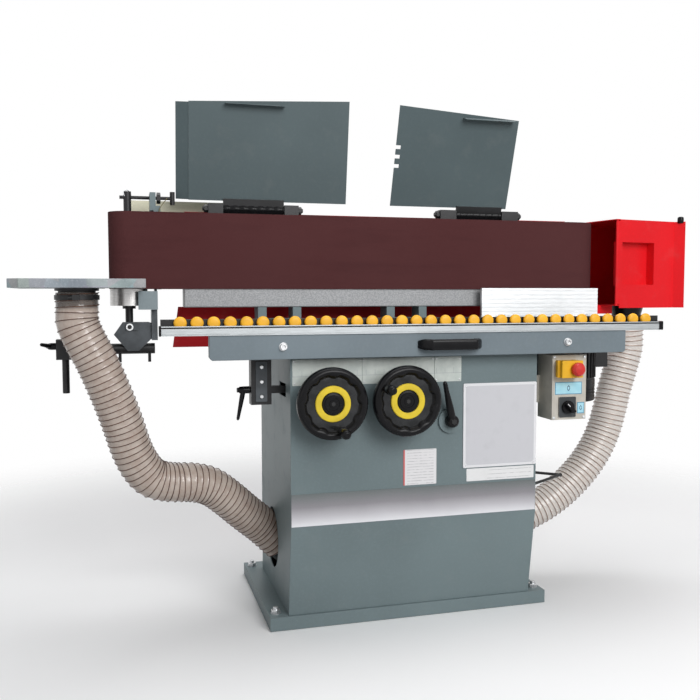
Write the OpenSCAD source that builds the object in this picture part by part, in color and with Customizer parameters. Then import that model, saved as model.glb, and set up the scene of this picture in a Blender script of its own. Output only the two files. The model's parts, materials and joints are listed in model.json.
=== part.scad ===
// Oscillating edge sander with roller table, flip-up belt covers and two dust hoses.
// Millimetres. X runs along the belt, -Y is the operator's side, Z is up from the floor.

/* [Base and column] */
// Length of the base plate
base_l = 780; // [740:1:860]
// Depth of the base plate
base_w = 470; // [466:1:560]
// Thickness of the base plate
base_t = 35; // [20:1:45]
// Width of the column
col_w = 682; // [640:1:700]
// Column front face ahead of the base centre
col_front = 265; // [262:1:275]
// Column back face behind the base centre
col_back = 177; // [150:1:200]
// Height of the column top
col_top = 712; // [704:1:714]
// Sheet thickness of the column
col_wall = 4; // [2:0.5:6]
// Height of the crease in the column front
crease_z = 272; // [250:1:275]
// How far the column front draws back below the crease
toe_in = 36; // [20:1:45]
// Levelling bolts in from the base ends
bolt_in_x = 20; // [16:1:30]
// Levelling bolts in from the base sides
bolt_in_y = 35; // [25:1:55]
// Thread diameter of the levelling bolts
floor_bolt_d = 14; // [10:1:20]

/* [Sanding belt] */
// Width of the belt
belt_w = 200; // [190:1:205]
// Inside length of the belt loop
belt_len = 3000; // [2980:1:3020]
// Thickness of the belt
belt_t = 1.5; // [1:0.1:2]
// Height of the lower belt edge
belt_z = 880; // [878:1:890]
// Front belt run ahead of the base centre
belt_front = 65; // [64:1:66]
// Diameter of the belt round the idler
idler_d = 100; // [96:1:104]
// Diameter of the belt round the drive drum
drive_d = 150; // [146:1:152]
// Place of the idler axis along the machine
idler_x = -723.5; // [-730:0.5:-720]
// Depth of the platen beam
beam_w = 60; // [50:1:70]
// Wall of the platen beam
beam_wall = 8; // [4:1:12]
// Thickness of the graphite pad
pad_t = 3; // [2:0.5:5]
// Stroke of the head each way from the middle
stroke = 3; // [1:0.5:4]
// Diameter of the head guide posts
post_d = 40; // [30:1:45]
// Diameter of the motor body
motor_d = 184; // [160:1:188]

/* [Table] */
// Length of the roller rail
rail_l = 1351; // [1330:1:1360]
// Middle of the rail along the machine
rail_mid = 18.5; // [15:0.5:20]
// Rail front face ahead of the base centre
table_front = 315; // [312:1:330]
// Table back edge ahead of the base centre
table_back = 75; // [72:1:90]
// Height of the table surface
table_z = 790; // [788:1:800]
// Height of the rail
rail_h = 23; // [22:1:26]
// Depth of the rail
rail_w = 24; // [22:1:26]
// Thickness of the table plate
plate_t = 8; // [5:1:12]
// Length of the table plate
plate_l = 1240; // [1200:1:1245]
// Height of the apron
apron_h = 60; // [40:1:60]
// Length of the apron
apron_l = 1128; // [1100:1:1160]
// Diameter of the table rollers
roller_d = 31; // [24:1:33]
// Spacing of the table rollers
roller_pitch = 39.4; // [36:0.2:40]
// Diameter of the table guide bars
guide_d = 25; // [18:1:28]
// Diameter of the lift screw
screw_d = 24; // [18:1:26]
// Length of the stop bar
stop_l = 375; // [300:1:378]

/* [Handwheels] */
// Diameter of the handwheels
wheel_d = 180; // [160:1:186]
// Height of the handwheel axes
wheel_z = 597; // [594:1:600]
// Place of the height wheel along the machine
height_x = -249; // [-252:1:-245]
// Place of the infeed wheel along the machine
infeed_x = -55; // [-60:1:-50]
// Radius of the circle that the grips stand on
grip_r = 70; // [60:1:72]
// Diameter of the height wheel shaft
shaft_d = 18; // [14:1:20]
// Diameter of the infeed screw
infeed_d = 20; // [16:1:24]

/* [Covers and hood] */
// Thickness of the belt cover sheet
cover_t = 2; // [1:0.5:4]
// Height of a belt cover at its outer end
cover_short = 255; // [220:1:270]
// Height of a belt cover at its inner end
cover_tall = 278; // [272:1:300]
// Diameter of the cover hinge pins
hinge_pin_d = 12; // [8:1:14]
// Width of the hood front
hood_w = 235; // [220:1:250]
// Depth of the hood
hood_depth = 220; // [200:1:235]
// Sheet thickness of the hood
hood_t = 2.5; // [1.5:0.5:4]
// Turn of the hood about the vertical
hood_turn = 10; // [8:1:12]

/* [Side table and hoses] */
// Thickness of the side table
side_t = 22; // [12:1:22]
// Diameter of the side table post
side_post_d = 18; // [14:1:24]
// Outside diameter of the hoses over the ribs
hose_d = 104; // [100:1:106]
// Depth of a hose rib
rib_h = 2.5; // [1:0.5:3]
// Wall of a hose at the root of its ribs
hose_wall = 1; // [0.8:0.1:1.5]
// Outside diameter of the rear dust outlet
outlet_d = 120; // [100:1:140]

/* [Control box] */
// Width of the control box
box_w = 103; // [100:1:115]
// Height of the control box
box_h = 177; // [170:1:185]
// Depth of the control box body
box_depth = 72; // [55:1:75]
// Thickness of the control box lid
lid_t = 8; // [4:1:10]
// Diameter of the stop button
stop_d = 37; // [30:1:40]

/* [Hidden] */
$fn = 96;

// Shared clearances
run = 0.05;
gap = 0.3;
eps = 1;

// Levelling bolts
floor_bolt_dx = base_l - 2 * bolt_in_x;
floor_bolt_dy = base_w - 2 * bolt_in_y;

// Belt loop
ri = idler_d / 2;
rd = drive_d / 2;
yi = -belt_front + ri;
yd = -belt_front + rd;
span_free = (belt_len - PI * (ri + rd)) / 2;
span = span_free - pow(rd - ri, 2) / span_free;
drive_x = idler_x + span;
loop_turn = 2 * atan2(rd - ri, span);
belt_top = belt_z + belt_w;
wrap_steps = 30;

// Head levels and ends
pad_y0 = -belt_front + belt_t + gap;
beam_y0 = pad_y0 + pad_t;
beam_y1 = beam_y0 + beam_w;
beam_z0 = belt_z - 49;
beam_z1 = belt_top - 10;
beam_x0 = idler_x + 140.5;
beam_x1 = drive_x - rd - 25;
post_xs = [-327.5, 38.5];
post_y = (beam_y0 + beam_y1) / 2;
post_z1 = beam_z0 - 34;
saddle_t = 15;
bush_z0 = col_top + 38;
bush_z1 = beam_z0 - 31;
guard_y = 95;
guard_t = 3;
guard_z0 = col_top + stroke + 2;
flange_t = 12;

// Table levels and travel
cross_out = 20;
cross_in = 5;
rail_x0 = rail_mid - rail_l / 2;
rail_x1 = rail_mid + rail_l / 2;
rail_y1 = -table_front + rail_w;
rail_lip = 3;
rail_back = 4;
roller_z = table_z + 7;
roller_w = rail_w - rail_lip - rail_back - 3;
stud_d = 6;
roller_end = 45;
roller_n = floor((rail_l - 2 * roller_end) / roller_pitch) + 1;
roller_x0 = rail_mid - roller_pitch * (roller_n - 1) / 2;
plate_x0 = 20 - plate_l / 2;
plate_z0 = table_z - plate_t;
apron_x0 = 19 - apron_l / 2;
apron_x1 = 19 + apron_l / 2;
apron_y0 = -table_front + 4;
apron_t = 8;
apron_z1 = table_z - rail_h;
apron_z0 = apron_z1 - apron_h;
guide_x = col_w / 2 + 57.5;
guide_y = -155;
guide_w = 53;

// Screw drive inside the column
beam_front = -190;
beam_back = -150;
screw_y = -105;
cone_near = screw_y - 36;
cone_far = screw_y - 24;
screw_z0 = wheel_z - 67;
nut_z0 = wheel_z + 43;
nut_d = screw_d + 20;

// Handwheel stations along Y
wheel_y0 = -col_front - 82;
wheel_y1 = -col_front - 52;
bush_d = 40;
lever_x = 87;
lever_z = 533;
lever_stud_d = 12;
boss_t = 7;

// Covers: hinge height, cover ends and forward lean at rest
cover_axis_z = belt_top + 17;
cover_axis_y = -11;
left_lean = 9;
right_lean = 18.5;
hinge_block_w = 30;
hinge_block_rise = 13;
cover_foot = norm([hinge_block_w / 2, hinge_block_rise]) + 2;
tube_d = hinge_pin_d + 10;

// Hood: front left corner, levels and spigot place
hood_x = 675;
hood_y = -105;
hood_z0 = beam_z0 - 7;
hood_z1 = belt_top + 8;
spigot_x = 797;
spigot_y = 8;

// Side table
side_z = belt_z + 1;
side_post_x = -886;
port_x = -849;
port_y = -138;
arm_z = 722;
arm_d = 20;
clamp_w = 44;

// Hoses and duct
hose_in_d = hose_d - 2 * rib_h - 2 * hose_wall;
hose_sides = 8;
spigot_d = hose_in_d * cos(180 / hose_sides) - 2 * gap;
spigot_in_d = spigot_d - 6;
duct_x = 280;
duct_z1 = 205;
outlet_z = 125;
ribs_per_step = 5;
left_route = [
  [-849, -138, 870], [-849, -138, 833], [-849, -138, 796], [-832, -138, 752], [-806, -137, 699],
  [-785, -134, 648], [-764, -128, 592],
  [-744, -119, 532], [-726, -109, 472], [-704, -99, 424], [-672, -88, 386], [-624, -76, 370],
  [-572, -65, 364], [-522, -52, 348], [-474, -38, 310], [-424, -20, 262], [-375, -5, 218],
  [-347.5, -1.6, 190.5], [-320, 1.9, 163]
];
right_route = [
  [797, 8, 799], [797, 8, 746], [796, 8, 693], [778, 8, 630], [758, 8, 565], [741, 7, 500],
  [721, 6, 437], [687, 3, 374], [637, -1, 314], [573, -5, 260], [505, -8, 218], [440, -8, 190],
  [392, -8, 168], [348, -8, 145], [310.4, -8, 123]
];

// Control box
box_x0 = col_w / 2 + 38;
box_z0 = 523;
box_y1 = -200;
box_y0 = box_y1 - box_depth;
lid_y0 = box_y0 - lid_t;
switch_x0 = box_x0 + 9;
switch_x1 = switch_x0 + 62;
switch_z0 = box_z0 + box_h - 59;
switch_z1 = switch_z0 + 46;
switch_y0 = lid_y0 - 20;
flap_y0 = switch_y0 - 17;
rotary_x = box_x0 + 45;
rotary_z = box_z0 + 35;

// Block between two opposite corners
module block(a, b) {
  translate(a) cube(b - a);
}

// Round rods along each axis
module rod_x(d, x0, x1, y, z) {
  translate([x0, y, z]) rotate([0, 90, 0]) cylinder(d = d, h = x1 - x0);
}
module rod_y(d, x, y0, y1, z) {
  translate([x, y0, z]) rotate([-90, 0, 0]) cylinder(d = d, h = y1 - y0);
}
module rod_z(d, x, y, z0, z1) {
  translate([x, y, z0]) cylinder(d = d, h = z1 - z0);
}

// Round rod between two points
module strut(a, b, d) {
  v = b - a;
  translate(a)
    rotate([0, acos(v.z / norm(v)), atan2(v.y, v.x)])
      cylinder(d = d, h = norm(v));
}

// Smooth curve through route points, and its direction
function at(p, i) =
  i < 0 ? 2 * p[0] - p[1] :
  i >= len(p) ? 2 * p[len(p) - 1] - p[len(p) - 2] : p[i];
function blend3(a, b, c, d, t) =
  0.5 * (2 * b + (c - a) * t + (2 * a - 5 * b + 4 * c - d) * t * t
    + (3 * b - a - 3 * c + d) * t * t * t);
function along(p, s) =
  let (i = min(floor(s), len(p) - 2))
  blend3(at(p, i - 1), at(p, i), at(p, i + 1), at(p, i + 2), s - i);
function unit(v) = v / norm(v);
function heading(p, s) =
  let (h = 0.05, n = len(p) - 1)
  unit(along(p, min(s + h, n)) - along(p, max(s - h, 0)));

// One ring of a hose at station s
function ring(p, s, r, sides) =
  let (
    c = along(p, s),
    t = heading(p, s),
    u = unit(cross(t, [0, 1, 0])),
    v = cross(t, u)
  )
  [for (k = [0 : sides - 1]) c + r * (cos(360 * k / sides) * u + sin(360 * k / sides) * v)];

// Two triangles for each side between ring a and ring b
function band(a, b, sides) = [
  for (k = [0 : sides - 1])
    let (m = (k + 1) % sides)
    each [
      [a * sides + k, a * sides + m, b * sides + m],
      [a * sides + k, b * sides + m, b * sides + k]
    ]
];

// Ribbed hose with its bore: crest and root rings outside, plain rings inside
module ribbed_hose(p) {
  sides = hose_sides;
  steps = len(p) - 1;
  rings = 2 * ribs_per_step * steps + 1;
  crest = hose_d / 2;
  bore_rings = 2 * steps + 1;
  outer = [
    for (i = [0 : rings - 1])
      each ring(p, i * steps / (rings - 1), i % 2 == 0 ? crest - rib_h : crest, sides)
  ];
  inner = [
    for (i = [bore_rings - 1 : -1 : 0])
      each ring(p, i * steps / (bore_rings - 1), hose_in_d / 2, sides)
  ];
  total = rings + bore_rings;
  polyhedron(
    points = concat(outer, inner),
    faces = [for (i = [0 : total - 1]) each band(i, (i + 1) % total, sides)],
    convexity = 12
  );
}

// Base plate with tapped holes for the levelling bolts
module base_plate() {
  color("slategray")
    difference() {
      block([-base_l / 2, -base_w / 2, 0], [base_l / 2, base_w / 2, base_t]);
      for (x = [-1, 1], y = [-1, 1])
        rod_z(floor_bolt_d + 2 * run, x * floor_bolt_dx / 2, y * floor_bolt_dy / 2, -eps, base_t + eps);
    }
}

// Side outline of the column, drawn in by an inset
module column_side(inset, bottom, top) {
  slope = toe_in / (crease_z - base_t);
  polygon([
    [-col_front + inset + slope * (crease_z - bottom), bottom],
    [-col_front + inset, crease_z],
    [-col_front + inset, top],
    [col_back - inset, top],
    [col_back - inset, bottom]
  ]);
}

// Outline in the YZ plane drawn out along X
module along_x(x0, x1) {
  translate([x0, 0, 0]) rotate([90, 0, 90]) linear_extrude(x1 - x0) children();
}

// Sheet metal column with its hose, slot, shaft and outlet openings
module column() {
  hx = col_w / 2;
  color("lightslategray")
    difference() {
      along_x(-hx, hx) column_side(0, base_t, col_top);
      along_x(-hx + col_wall, hx - col_wall) column_side(col_wall, base_t - eps, col_top - col_wall);
      for (x = [height_x, infeed_x])
        rod_y(bush_d, x, -col_front - eps, -col_front + col_wall + eps, wheel_z);
      rod_y(lever_stud_d + 2, lever_x, -col_front - eps, -col_front + col_wall + eps, lever_z);
      rod_x(168, -hx - eps, -hx + col_wall + eps, 0, 180);
      rod_x(145, hx - col_wall - eps, hx + eps, -8, 140);
      rod_y(outlet_d - 2, 0, col_back - col_wall - eps, col_back + eps, outlet_z);
      for (s = [-1, 1])
        block(
          [s * (hx - col_wall / 2) - col_wall, guide_y - 50, wheel_z + 4],
          [s * (hx - col_wall / 2) + col_wall, guide_y + 35, wheel_z + 38]
        );
      block(
        [height_x - nut_d / 2 - 4, screw_y - nut_d / 2 - cross_out - 4, col_top - col_wall - eps],
        [height_x + nut_d / 2 + 4, screw_y + nut_d / 2 + cross_in + 4, col_top + eps]
      );
    }
}

// Levelling bolts in the base and screws of the control box lid
module frame_fasteners() {
  color("silver") {
    for (x = [-1, 1], y = [-1, 1])
      translate([x * floor_bolt_dx / 2, y * floor_bolt_dy / 2, 0]) {
        translate([0, 0, base_t]) cylinder(d = 1.7 * floor_bolt_d, h = 10, $fn = 6);
        translate([0, 0, 2]) cylinder(d = floor_bolt_d, h = base_t - 2);
      }
    for (x = [6, box_w - 6], z = [6, box_h - 6])
      rod_y(9, box_x0 + x, lid_y0 - 3, lid_y0, box_z0 + z);
  }
}

// Plain band, scale strip and blank plates on the column front
module front_plates() {
  t = 1;
  hx = col_w / 2;
  y0 = -col_front - t;
  y1 = -col_front;
  color("gainsboro") {
    block([-hx + 1, y0, crease_z + 5], [hx - 2, y1, crease_z + 88]);
    block([-hx + 5, y0, 636], [hx - 222, y1, 702]);
    block([hx - 216, y0, 403], [hx - 2, y1, 629]);
    block([hx - 205, y0, 366], [hx - 7, y1, 400]);
    block([-42, y0, 366], [50, y1, 460]);
  }
}

// Control box body with a bracket to the column side
module control_box() {
  w = 2.5;
  x1 = box_x0 + box_w;
  z1 = box_z0 + box_h;
  color("lightgray") {
    difference() {
      block([box_x0, box_y0, box_z0], [x1, box_y1, z1]);
      block([box_x0 + w, box_y0 - eps, box_z0 + w], [x1 - w, box_y1 - w, z1 - w]);
    }
    block([col_w / 2, box_y1 - 8, box_z0 + 40], [box_x0, box_y1 - 4, z1 - 60]);
  }
}

// Lid with blank label plates and the rotary switch plate
module control_lid() {
  x1 = box_x0 + box_w;
  color("lightgray") {
    difference() {
      block([box_x0, lid_y0, box_z0], [x1, box_y0, box_z0 + box_h]);
      rod_y(10 + 2 * run, rotary_x, lid_y0 - eps, box_y0 + eps, rotary_z);
    }
    block([box_x0 + 4, lid_y0 - 1, box_z0 + 68], [x1 - 10, lid_y0, box_z0 + 105]);
    block([x1 - 29, lid_y0 - 1, box_z0 + 14], [x1 - 4, lid_y0, box_z0 + 49]);
    difference() {
      block([rotary_x - 26, lid_y0 - 4, rotary_z - 28], [rotary_x + 26, lid_y0, rotary_z + 28]);
      rod_y(10 + 2 * run, rotary_x, lid_y0 - 5, lid_y0 + eps, rotary_z);
    }
  }
}

// Switch housing with a pocket for the start button
start_x = switch_x0 + 16;
switch_mid_z = (switch_z0 + switch_z1) / 2;
start_d = 15;
module switch_housing() {
  color("gold")
    difference() {
      block([switch_x0, switch_y0, switch_z0], [switch_x1, lid_y0, switch_z1]);
      rod_y(start_d + 2 * run, start_x, switch_y0 - eps, lid_y0 - 3, switch_mid_z);
    }
}

// Flap over the switch with its hinge pin, bored for the stop button stem
stop_x = switch_x1 - 19;
stem_d = 14;
module switch_flap() {
  x = switch_x0 - 3;
  color("gold")
    difference() {
      union() {
        block([switch_x0, flap_y0, switch_z0], [switch_x1, switch_y0 - 0.5, switch_z1]);
        block([x, switch_y0 - 4, switch_z0], [switch_x0 + eps, switch_y0 - 0.5, switch_z1]);
        rod_z(5, x, switch_y0 - 0.25, switch_z0, switch_z1);
      }
      rod_y(stem_d + 2 * run, stop_x, flap_y0 - eps, switch_y0, switch_mid_z);
    }
}

// Mushroom stop button
module stop_button() {
  color("red") {
    rod_y(stem_d, stop_x, flap_y0 - 6, switch_y0 - 5, switch_mid_z);
    translate([stop_x, flap_y0 - 4, switch_mid_z])
      rotate([90, 0, 0])
        rotate_extrude()
          polygon([[0, 0], [stop_d / 2, 0], [stop_d / 2, 9], [stop_d / 2 - 5, 15], [0, 17]]);
  }
}

// Start button under the flap
module start_button() {
  color("green") rod_y(start_d, start_x, switch_y0 + 1, lid_y0 - 8, switch_mid_z);
}

// Rotary switch knob with a pointer bar
module rotary_knob() {
  y1 = lid_y0 - 4 - gap;
  color("black") {
    rod_y(36, rotary_x, y1 - 8, y1, rotary_z);
    block([rotary_x - 5, y1 - 22, rotary_z - 17], [rotary_x + 5, y1 - 8, rotary_z + 17]);
    rod_y(10, rotary_x, y1 - 4, box_y0 + 6, rotary_z);
  }
}

// Bent rod that carries the right hose
module hose_hook() {
  hx = col_w / 2;
  tip = [hx + 150, -135, 336];
  color("black") {
    strut([hx + 3, -215, 330], tip, 8);
    strut(tip, [hx + 3, -60, 345], 8);
    translate(tip) sphere(d = 11);
    rod_x(22, hx, hx + 4, -215, 330);
    rod_x(22, hx, hx + 4, -60, 345);
  }
}

// Dust manifold inside the column, two hose spigots with guard bars and the rear outlet
module spigot(route, d, back, ahead) {
  n = len(route);
  t = unit(route[n - 1] - route[n - 2]);
  strut(route[n - 1] - back * t, route[n - 1] + ahead * t, d);
}
module mouth_bar(route) {
  p = route[len(route) - 1];
  reach = spigot_d / 2 - 1.5;
  rod_y(6, p.x, p.y - reach, p.y + reach, p.z);
}
module dust_duct() {
  w = 3;
  color("dimgray") {
    difference() {
      union() {
        block([-duct_x, -60, base_t], [duct_x, 70, duct_z1]);
        spigot(left_route, spigot_d, 40, 106);
        spigot(right_route, spigot_d, 40, 66);
        rod_y(outlet_d - 4, 0, 60, col_back + 5, outlet_z);
        rod_y(outlet_d, 0, col_back + 4, col_back + 55, outlet_z);
      }
      block([-duct_x + w, -60 + w, base_t + w], [duct_x - w, 70 - w, duct_z1 - w]);
      spigot(left_route, spigot_in_d, 41, 106);
      spigot(right_route, spigot_in_d, 41, 66);
      rod_y(outlet_d - 10, 0, 60, col_back + 56, outlet_z);
    }
    mouth_bar(left_route);
    mouth_bar(right_route);
  }
}

// Saddle on the column top with the two head guide posts
module head_saddle() {
  color("dimgray") {
    block([post_xs[0] - 80, post_y - 32, col_top], [post_xs[1] + 80, post_y + 32, col_top + saddle_t]);
    for (x = post_xs)
      rod_z(post_d, x, post_y, col_top + saddle_t - eps, post_z1);
  }
}

// Bushes for both wheel shafts and the boss of the front clamp lever
module bush(x, bore) {
  difference() {
    union() {
      rod_y(bush_d + 16, x, -col_front - 10, -col_front, wheel_z);
      rod_y(bush_d - 2 * run, x, -col_front, -col_front + 22, wheel_z);
    }
    rod_y(bore + 2 * run, x, -col_front - 11, -col_front + 23, wheel_z);
  }
}
module shaft_bushes() {
  color("darkgray") {
    bush(height_x, shaft_d);
    bush(infeed_x, infeed_d);
    difference() {
      rod_y(66, lever_x, -col_front - boss_t, -col_front, lever_z);
      rod_y(lever_stud_d + 2 * run, lever_x, -col_front - boss_t - eps, -col_front + eps, lever_z);
    }
  }
}

// Dished handwheel turned about Y, with a seat for the ring and a hole for the grip pin
function polar(r, a) = [r * cos(a), r * sin(a)];
module wheel(x, bore, grip_angle) {
  r = wheel_d / 2;
  grip = polar(grip_r, grip_angle);
  color("black")
    difference() {
      translate([x, wheel_y1, wheel_z])
        rotate([90, 0, 0])
          rotate_extrude()
            polygon([
              [0, 0], [24, 0], [26, 6], [r - 22, 10], [r - 14, 2], [r - 5, 0], [r, 6], [r, 20],
              [r - 5, 28], [r - 14, 30], [r - 20, 24], [48, 18], [0, 18]
            ]);
      rod_y(bore, x, wheel_y1 - 14, wheel_y1 + eps, wheel_z);
      rod_y(10 + 2 * run, x + grip.x, wheel_y0 - eps, wheel_y1 - 2, wheel_z + grip.y);
    }
}
module wheel_ring(x) {
  color("yellow")
    translate([x, wheel_y1 - 18, wheel_z])
      rotate([90, 0, 0])
        rotate_extrude()
          polygon([[29, 0], [45, 0], [44, 5], [30, 5]]);
}
module wheel_grip(x, angle) {
  grip = polar(grip_r, angle);
  color("black") {
    rod_y(10, x + grip.x, wheel_y1 - 28, wheel_y1 - 14, wheel_z + grip.y);
    translate([x + grip.x, wheel_y1 - 24 - gap, wheel_z + grip.y])
      rotate([90, 0, 0])
        rotate_extrude()
          polygon([[0, 6], [8, 6], [11, 14], [13, 40], [12, 56], [7, 62], [0, 63]]);
  }
}
height_grip_angle = -75;
infeed_grip_angle = 150;
module height_wheel() { wheel(height_x, shaft_d, height_grip_angle); }
module infeed_wheel() { wheel(infeed_x, infeed_d, infeed_grip_angle); }
module height_ring() { wheel_ring(height_x); }
module infeed_ring() { wheel_ring(infeed_x); }
module height_grip() { wheel_grip(height_x, height_grip_angle); }
module infeed_grip() { wheel_grip(infeed_x, infeed_grip_angle); }
module height_shaft() {
  color("silver") rod_y(shaft_d, height_x, wheel_y1 - 14, beam_back - 12, wheel_z);
}
module infeed_screw() {
  color("silver") rod_y(infeed_d, infeed_x, wheel_y1 - 14, beam_back + 20, wheel_z);
}

// Cross carriage: nut beam, screw bearing, arms and the two guide blocks
module cross_carriage() {
  z0 = wheel_z - 22;
  z1 = wheel_z + 42;
  color("dimgray")
    difference() {
      union() {
        block([-300, beam_front, z0], [300, beam_back, z1]);
        block([height_x - 30, beam_front, screw_z0], [height_x + 30, screw_y + 25, screw_z0 + 26]);
        block([height_x - 30, beam_front, screw_z0 + 25], [height_x + 30, beam_front + 25, z0 + eps]);
        for (s = [-1, 1]) {
          block([s == 1 ? 299 : -guide_x, guide_y - 18, wheel_z + 12],
            [s == 1 ? guide_x : -299, guide_y + 5, wheel_z + 30]);
          block([s * guide_x - guide_w / 2, guide_y - 18, 580], [s * guide_x + guide_w / 2, guide_y + 18, 700]);
        }
      }
      rod_y(infeed_d + 2 * run, infeed_x, beam_front - eps, beam_back + eps, wheel_z);
      rod_y(shaft_d + 8 + 2 * run, height_x, beam_front - eps, beam_back + eps, wheel_z);
      rod_z(screw_d + 2 * run, height_x, screw_y, screw_z0 - eps, screw_z0 + 27);
      for (s = [-1, 1])
        rod_z(guide_d + 2 * run, s * guide_x, guide_y, 579, 701);
      rod_x(10 + 2 * run, -guide_x - guide_w / 2 - eps, -guide_x, guide_y, wheel_z + 21);
    }
}

// Bevel pinion that slides on the height shaft
module bevel_pinion() {
  color("silver")
    difference() {
      union() {
        rod_y(shaft_d + 8, height_x, beam_front, beam_back + eps, wheel_z);
        rod_y(shaft_d + 16, height_x, beam_back + gap, cone_near + eps, wheel_z);
        translate([height_x, cone_near, wheel_z])
          rotate([-90, 0, 0])
            cylinder(r1 = 36 - gap, r2 = 24 - gap, h = 12);
      }
      rod_y(shaft_d + 2 * run, height_x, beam_front - eps, cone_far + eps, wheel_z);
    }
}

// Lift screw with its bevel wheel and thrust collar
module lift_screw() {
  color("silver") {
    rod_z(screw_d, height_x, screw_y, screw_z0, col_top + 40);
    rod_z(screw_d + 10, height_x, screw_y, screw_z0 + 26 + gap, screw_z0 + 34);
    translate([height_x, screw_y, wheel_z + 24])
      cylinder(r1 = 24 - gap, r2 = 36 - gap, h = 12);
  }
}

// Clamp lever on the column front
module front_lever() {
  y = -col_front - boss_t - gap;
  tip = [lever_x - 30, y - 30, lever_z + 101];
  color("black") {
    rod_y(34, lever_x, y - 24, y, lever_z);
    rod_y(lever_stud_d, lever_x, y - 4, -col_front + col_wall, lever_z);
    strut([lever_x - 2, y - 14, lever_z + 7], tip, 14);
    translate(tip) sphere(d = 18);
  }
}

// Clamp lever on the left guide block
module side_lever() {
  x1 = -guide_x - guide_w / 2 - gap;
  z = wheel_z + 21;
  color("black") {
    rod_x(19, x1 - 32, x1, guide_y, z);
    rod_x(10, x1 - 4, -guide_x - guide_d / 2 - 2, guide_y, z);
    strut([x1 - 22, guide_y, z], [x1 - 34, guide_y - 6, z - 74], 9);
    translate([x1 - 34, guide_y - 6, z - 74]) sphere(d = 14);
  }
}

// Table plate
module table_top() {
  color("slategray")
    block([plate_x0, rail_y1, plate_z0], [plate_x0 + plate_l, -table_back, table_z]);
}

// Apron with cut lower corners and its end plates
module table_apron() {
  c = 6;
  lip = 26;
  color("slategray") {
    translate([0, apron_y0 + apron_t, 0])
      rotate([90, 0, 0])
        linear_extrude(apron_t)
          polygon([
            [apron_x0, apron_z1], [apron_x0, apron_z0 + c], [apron_x0 + c, apron_z0],
            [apron_x1 - c, apron_z0], [apron_x1, apron_z0 + c], [apron_x1, apron_z1]
          ]);
    for (x = [apron_x0, apron_x1 - apron_t])
      block([x, apron_y0 + apron_t - eps, apron_z0 + c], [x + apron_t, apron_y0 + lip, apron_z1]);
  }
}

// Roller rail with its roller studs and end caps
module table_rail() {
  y0 = -table_front;
  color("silver") {
    difference() {
      block([rail_x0, y0, apron_z1], [rail_x1, rail_y1, table_z + 16]);
      block([rail_x0 - eps, y0 + rail_lip, table_z - 11], [rail_x1 + eps, rail_y1 - rail_back, table_z + 17]);
      block([rail_x0 - eps, y0 - eps, table_z], [rail_x1 + eps, y0 + rail_lip + eps, table_z + 17]);
    }
    for (i = [0 : roller_n - 1])
      rod_y(stud_d, roller_x0 + i * roller_pitch, y0 + 5, rail_y1 - rail_back + eps, roller_z);
  }
  color("black")
    for (x = [rail_x0 - 4, rail_x1])
      block([x, y0, apron_z1], [x + 4, rail_y1, table_z]);
}

// Row of table rollers
module rollers() {
  y1 = rail_y1 - rail_back - 1;
  color("orange")
    for (i = [0 : roller_n - 1])
      difference() {
        rod_y(roller_d, roller_x0 + i * roller_pitch, y1 - roller_w, y1, roller_z);
        rod_y(stud_d + 2 * run, roller_x0 + i * roller_pitch, y1 - roller_w - eps, y1 + eps, roller_z);
      }
}

// Pull handle on the apron
handle_x0 = -20;
handle_x1 = 154;
handle_z = 738;
module pull_handle() {
  y1 = apron_y0;
  foot = 22;
  color("black") {
    for (x = [handle_x0, handle_x1 - foot])
      block([x, y1 - 27, handle_z - 14], [x + foot, y1, handle_z + 14]);
    block([handle_x0, y1 - 40, handle_z - 14], [handle_x1, y1 - 26, handle_z + 14]);
  }
}

// Bolts of the apron
module apron_bolts() {
  color("silver")
    for (x = [-367, 405]) {
      rod_y(21, x, apron_y0 - 2, apron_y0, handle_z);
      translate([x, apron_y0 - 2, handle_z]) rotate([90, 0, 0]) cylinder(d = 18, h = 8, $fn = 6);
    }
}

// Stop bar that stands on the table near the belt
module stop_bar() {
  x0 = 254;
  y0 = -table_back - 20;
  color("silver") {
    block([x0, y0, table_z], [x0 + stop_l, y0 + 12, belt_z + 3]);
    block([x0 + 30, y0 - 40, table_z], [x0 + 80, y0 + eps, table_z + 10]);
    block([x0 + stop_l - 80, y0 - 40, table_z], [x0 + stop_l - 30, y0 + eps, table_z + 10]);
  }
}

// Guide bars below the table
module guide_bars() {
  color("silver")
    for (s = [-1, 1])
      rod_z(guide_d, s * guide_x, guide_y, 585, plate_z0);
}

// Lift nut tube below the table
module lift_nut() {
  color("darkgoldenrod")
    difference() {
      rod_z(nut_d, height_x, screw_y, nut_z0, plate_z0);
      rod_z(screw_d + 2 * run, height_x, screw_y, nut_z0 - eps, nut_z0 + 31);
      rod_z(screw_d + 4, height_x, screw_y, nut_z0 + 30, plate_z0 - 6);
    }
}

// Platen beam, open at the back
module platen_beam() {
  color("gray")
    difference() {
      block([beam_x0, beam_y0, beam_z0], [beam_x1, beam_y1, beam_z1]);
      block([beam_x0 + beam_wall, beam_y0 + beam_wall, beam_z0 + beam_wall],
        [beam_x1 - beam_wall, beam_y1 + eps, beam_z1 - beam_wall]);
    }
}

// Graphite pad on the platen
module platen_pad() {
  color("dimgray")
    block([beam_x0 + 10, pad_y0, belt_z + 5], [beam_x1 - 10, beam_y0, beam_z1 - 5]);
}

// Sanding belt: two runs and the wraps round both drums
function wrap(x, y, r, from, sweep) = [
  for (i = [0 : wrap_steps])
    [x, y] + polar(r, from + sweep * i / wrap_steps)
];
function belt_line(inset) = concat(
  wrap(idler_x, yi, ri - inset, 90 + loop_turn, 180 - loop_turn),
  wrap(drive_x, yd, rd - inset, -90, 180 + loop_turn)
);
module sanding_belt() {
  color("saddlebrown")
    translate([0, 0, belt_z])
      linear_extrude(belt_w)
        difference() {
          polygon(belt_line(0));
          polygon(belt_line(belt_t));
        }
}

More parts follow.
